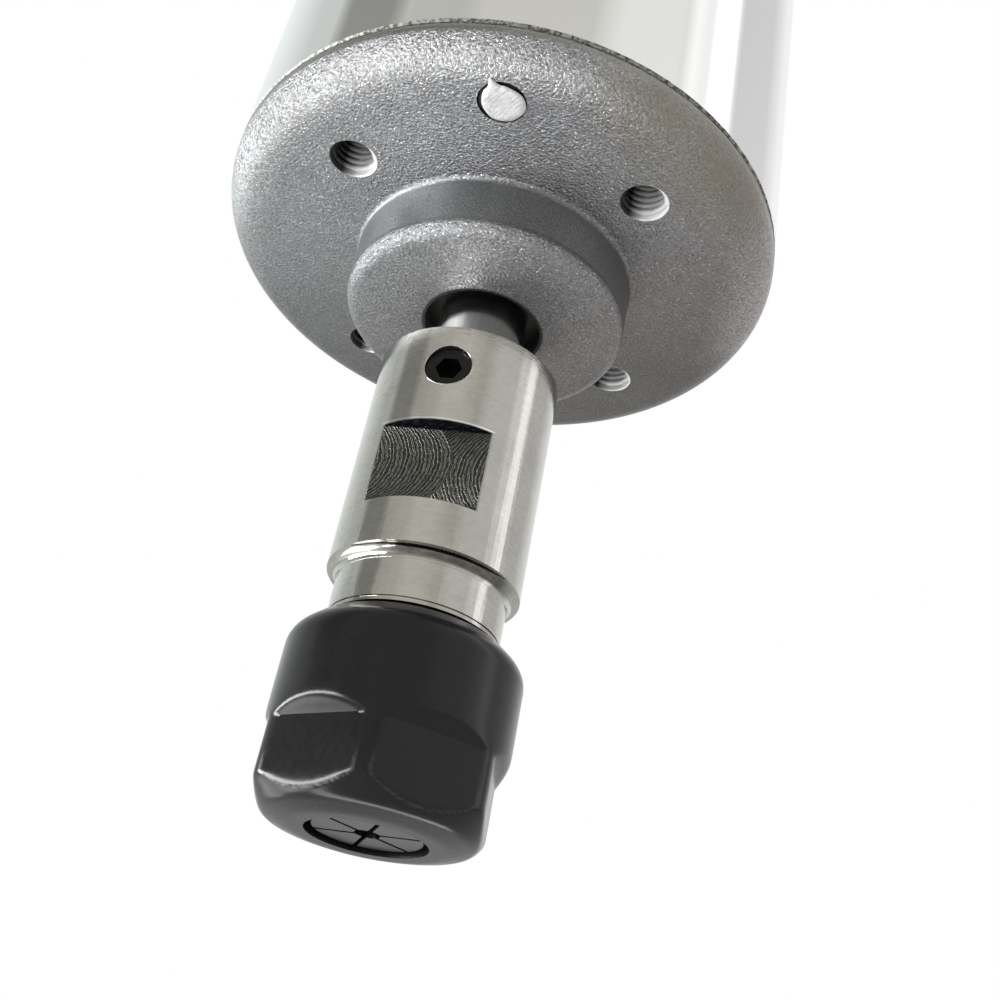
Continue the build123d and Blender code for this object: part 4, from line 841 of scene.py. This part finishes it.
def towards(bearing, half, blur):
    """1 within half of a bearing, falling to 0 over blur degrees."""
    facing = (east * cos(radians(bearing)) + north * sin(radians(bearing))) / flat_length
    wide, narrow = cos(radians(half + blur / 2)), cos(radians(max(half - blur / 2, 0)))
    return facing.above((wide + narrow) / 2, narrow - wide)


level = high.above(0.85, 0.3) * -0.12 + WALL_LEVEL  # a little darker overhead
for bearing, half, blur, change in PANELS:
    level = level + towards(bearing, half, blur) * change
tint = studio.colours(towards(250, half=60, blur=50), (0.965, 1.0, 0.985), (1.0, 0.975, 0.915))
tint = studio.colours(towards(10, half=50, blur=40), tint, (1.0, 0.975, 0.98))
soft = studio.node("ShaderNodeBackground", sockets={"Color": tint, "Strength": level})
white = studio.node("ShaderNodeBackground", sockets={"Color": (1, 1, 1, 1), "Strength": 1.0})
seen, passed = [
    studio.node("ShaderNodeLightPath", output=ray) for ray in ("Is Camera Ray", "Is Transmission Ray")
]
choice = studio.node("ShaderNodeMixShader", sockets={0: seen.or_more(passed), 1: soft, 2: white})
studio.node("ShaderNodeOutputWorld", sockets={0: choice})


def softbox(name, place, aim, width, height, power):
    """A rectangular lamp, in metres and watts."""
    light = bpy.data.lights.new(name, "AREA")
    light.shape = "RECTANGLE"
    light.size, light.size_y = width, height
    light.energy = power
    lamp = bpy.data.objects.new(name, light)
    lamp.location = place
    lamp.rotation_euler = (Vector(aim) - Vector(place)).to_track_quat("-Z", "Y").to_euler()
    bpy.context.scene.collection.objects.link(lamp)


softbox("key", (-0.37, -0.08, -0.06), (0, 0, 0), width=0.40, height=0.09, power=2.1)
softbox("low", (-0.075, 0.015, -0.096), (0, 0, 0), width=0.09, height=0.05, power=0.03)
softbox("sparkle", (-0.012, 0.005, -0.097), (0, -0.01, 0), width=0.10, height=0.012, power=0.02)
softbox("glint", (-0.066, -0.003, -0.096), (0, 0, -0.046), width=0.03, height=0.03, power=0.007)

lens = bpy.data.cameras.new("camera")
lens.lens, lens.sensor_width = 43.225, 36.0
lens.shift_x, lens.shift_y = 0.0007, 0.0036
lens.clip_start = 0.005
camera = bpy.data.objects.new("camera", lens)
right = Vector((0.98486, -0.03627, 0.16954))
up = Vector((-0.16481, -0.49933, 0.85059))
turn = Matrix((right, up, right.cross(up))).transposed()
camera.matrix_world = Matrix.Translation(Vector((10.253, -88.372, -75.073)) * MM) @ turn.to_4x4()
bpy.context.scene.collection.objects.link(camera)
bpy.context.scene.camera = camera
bpy.context.scene.view_settings.view_transform = "Standard"
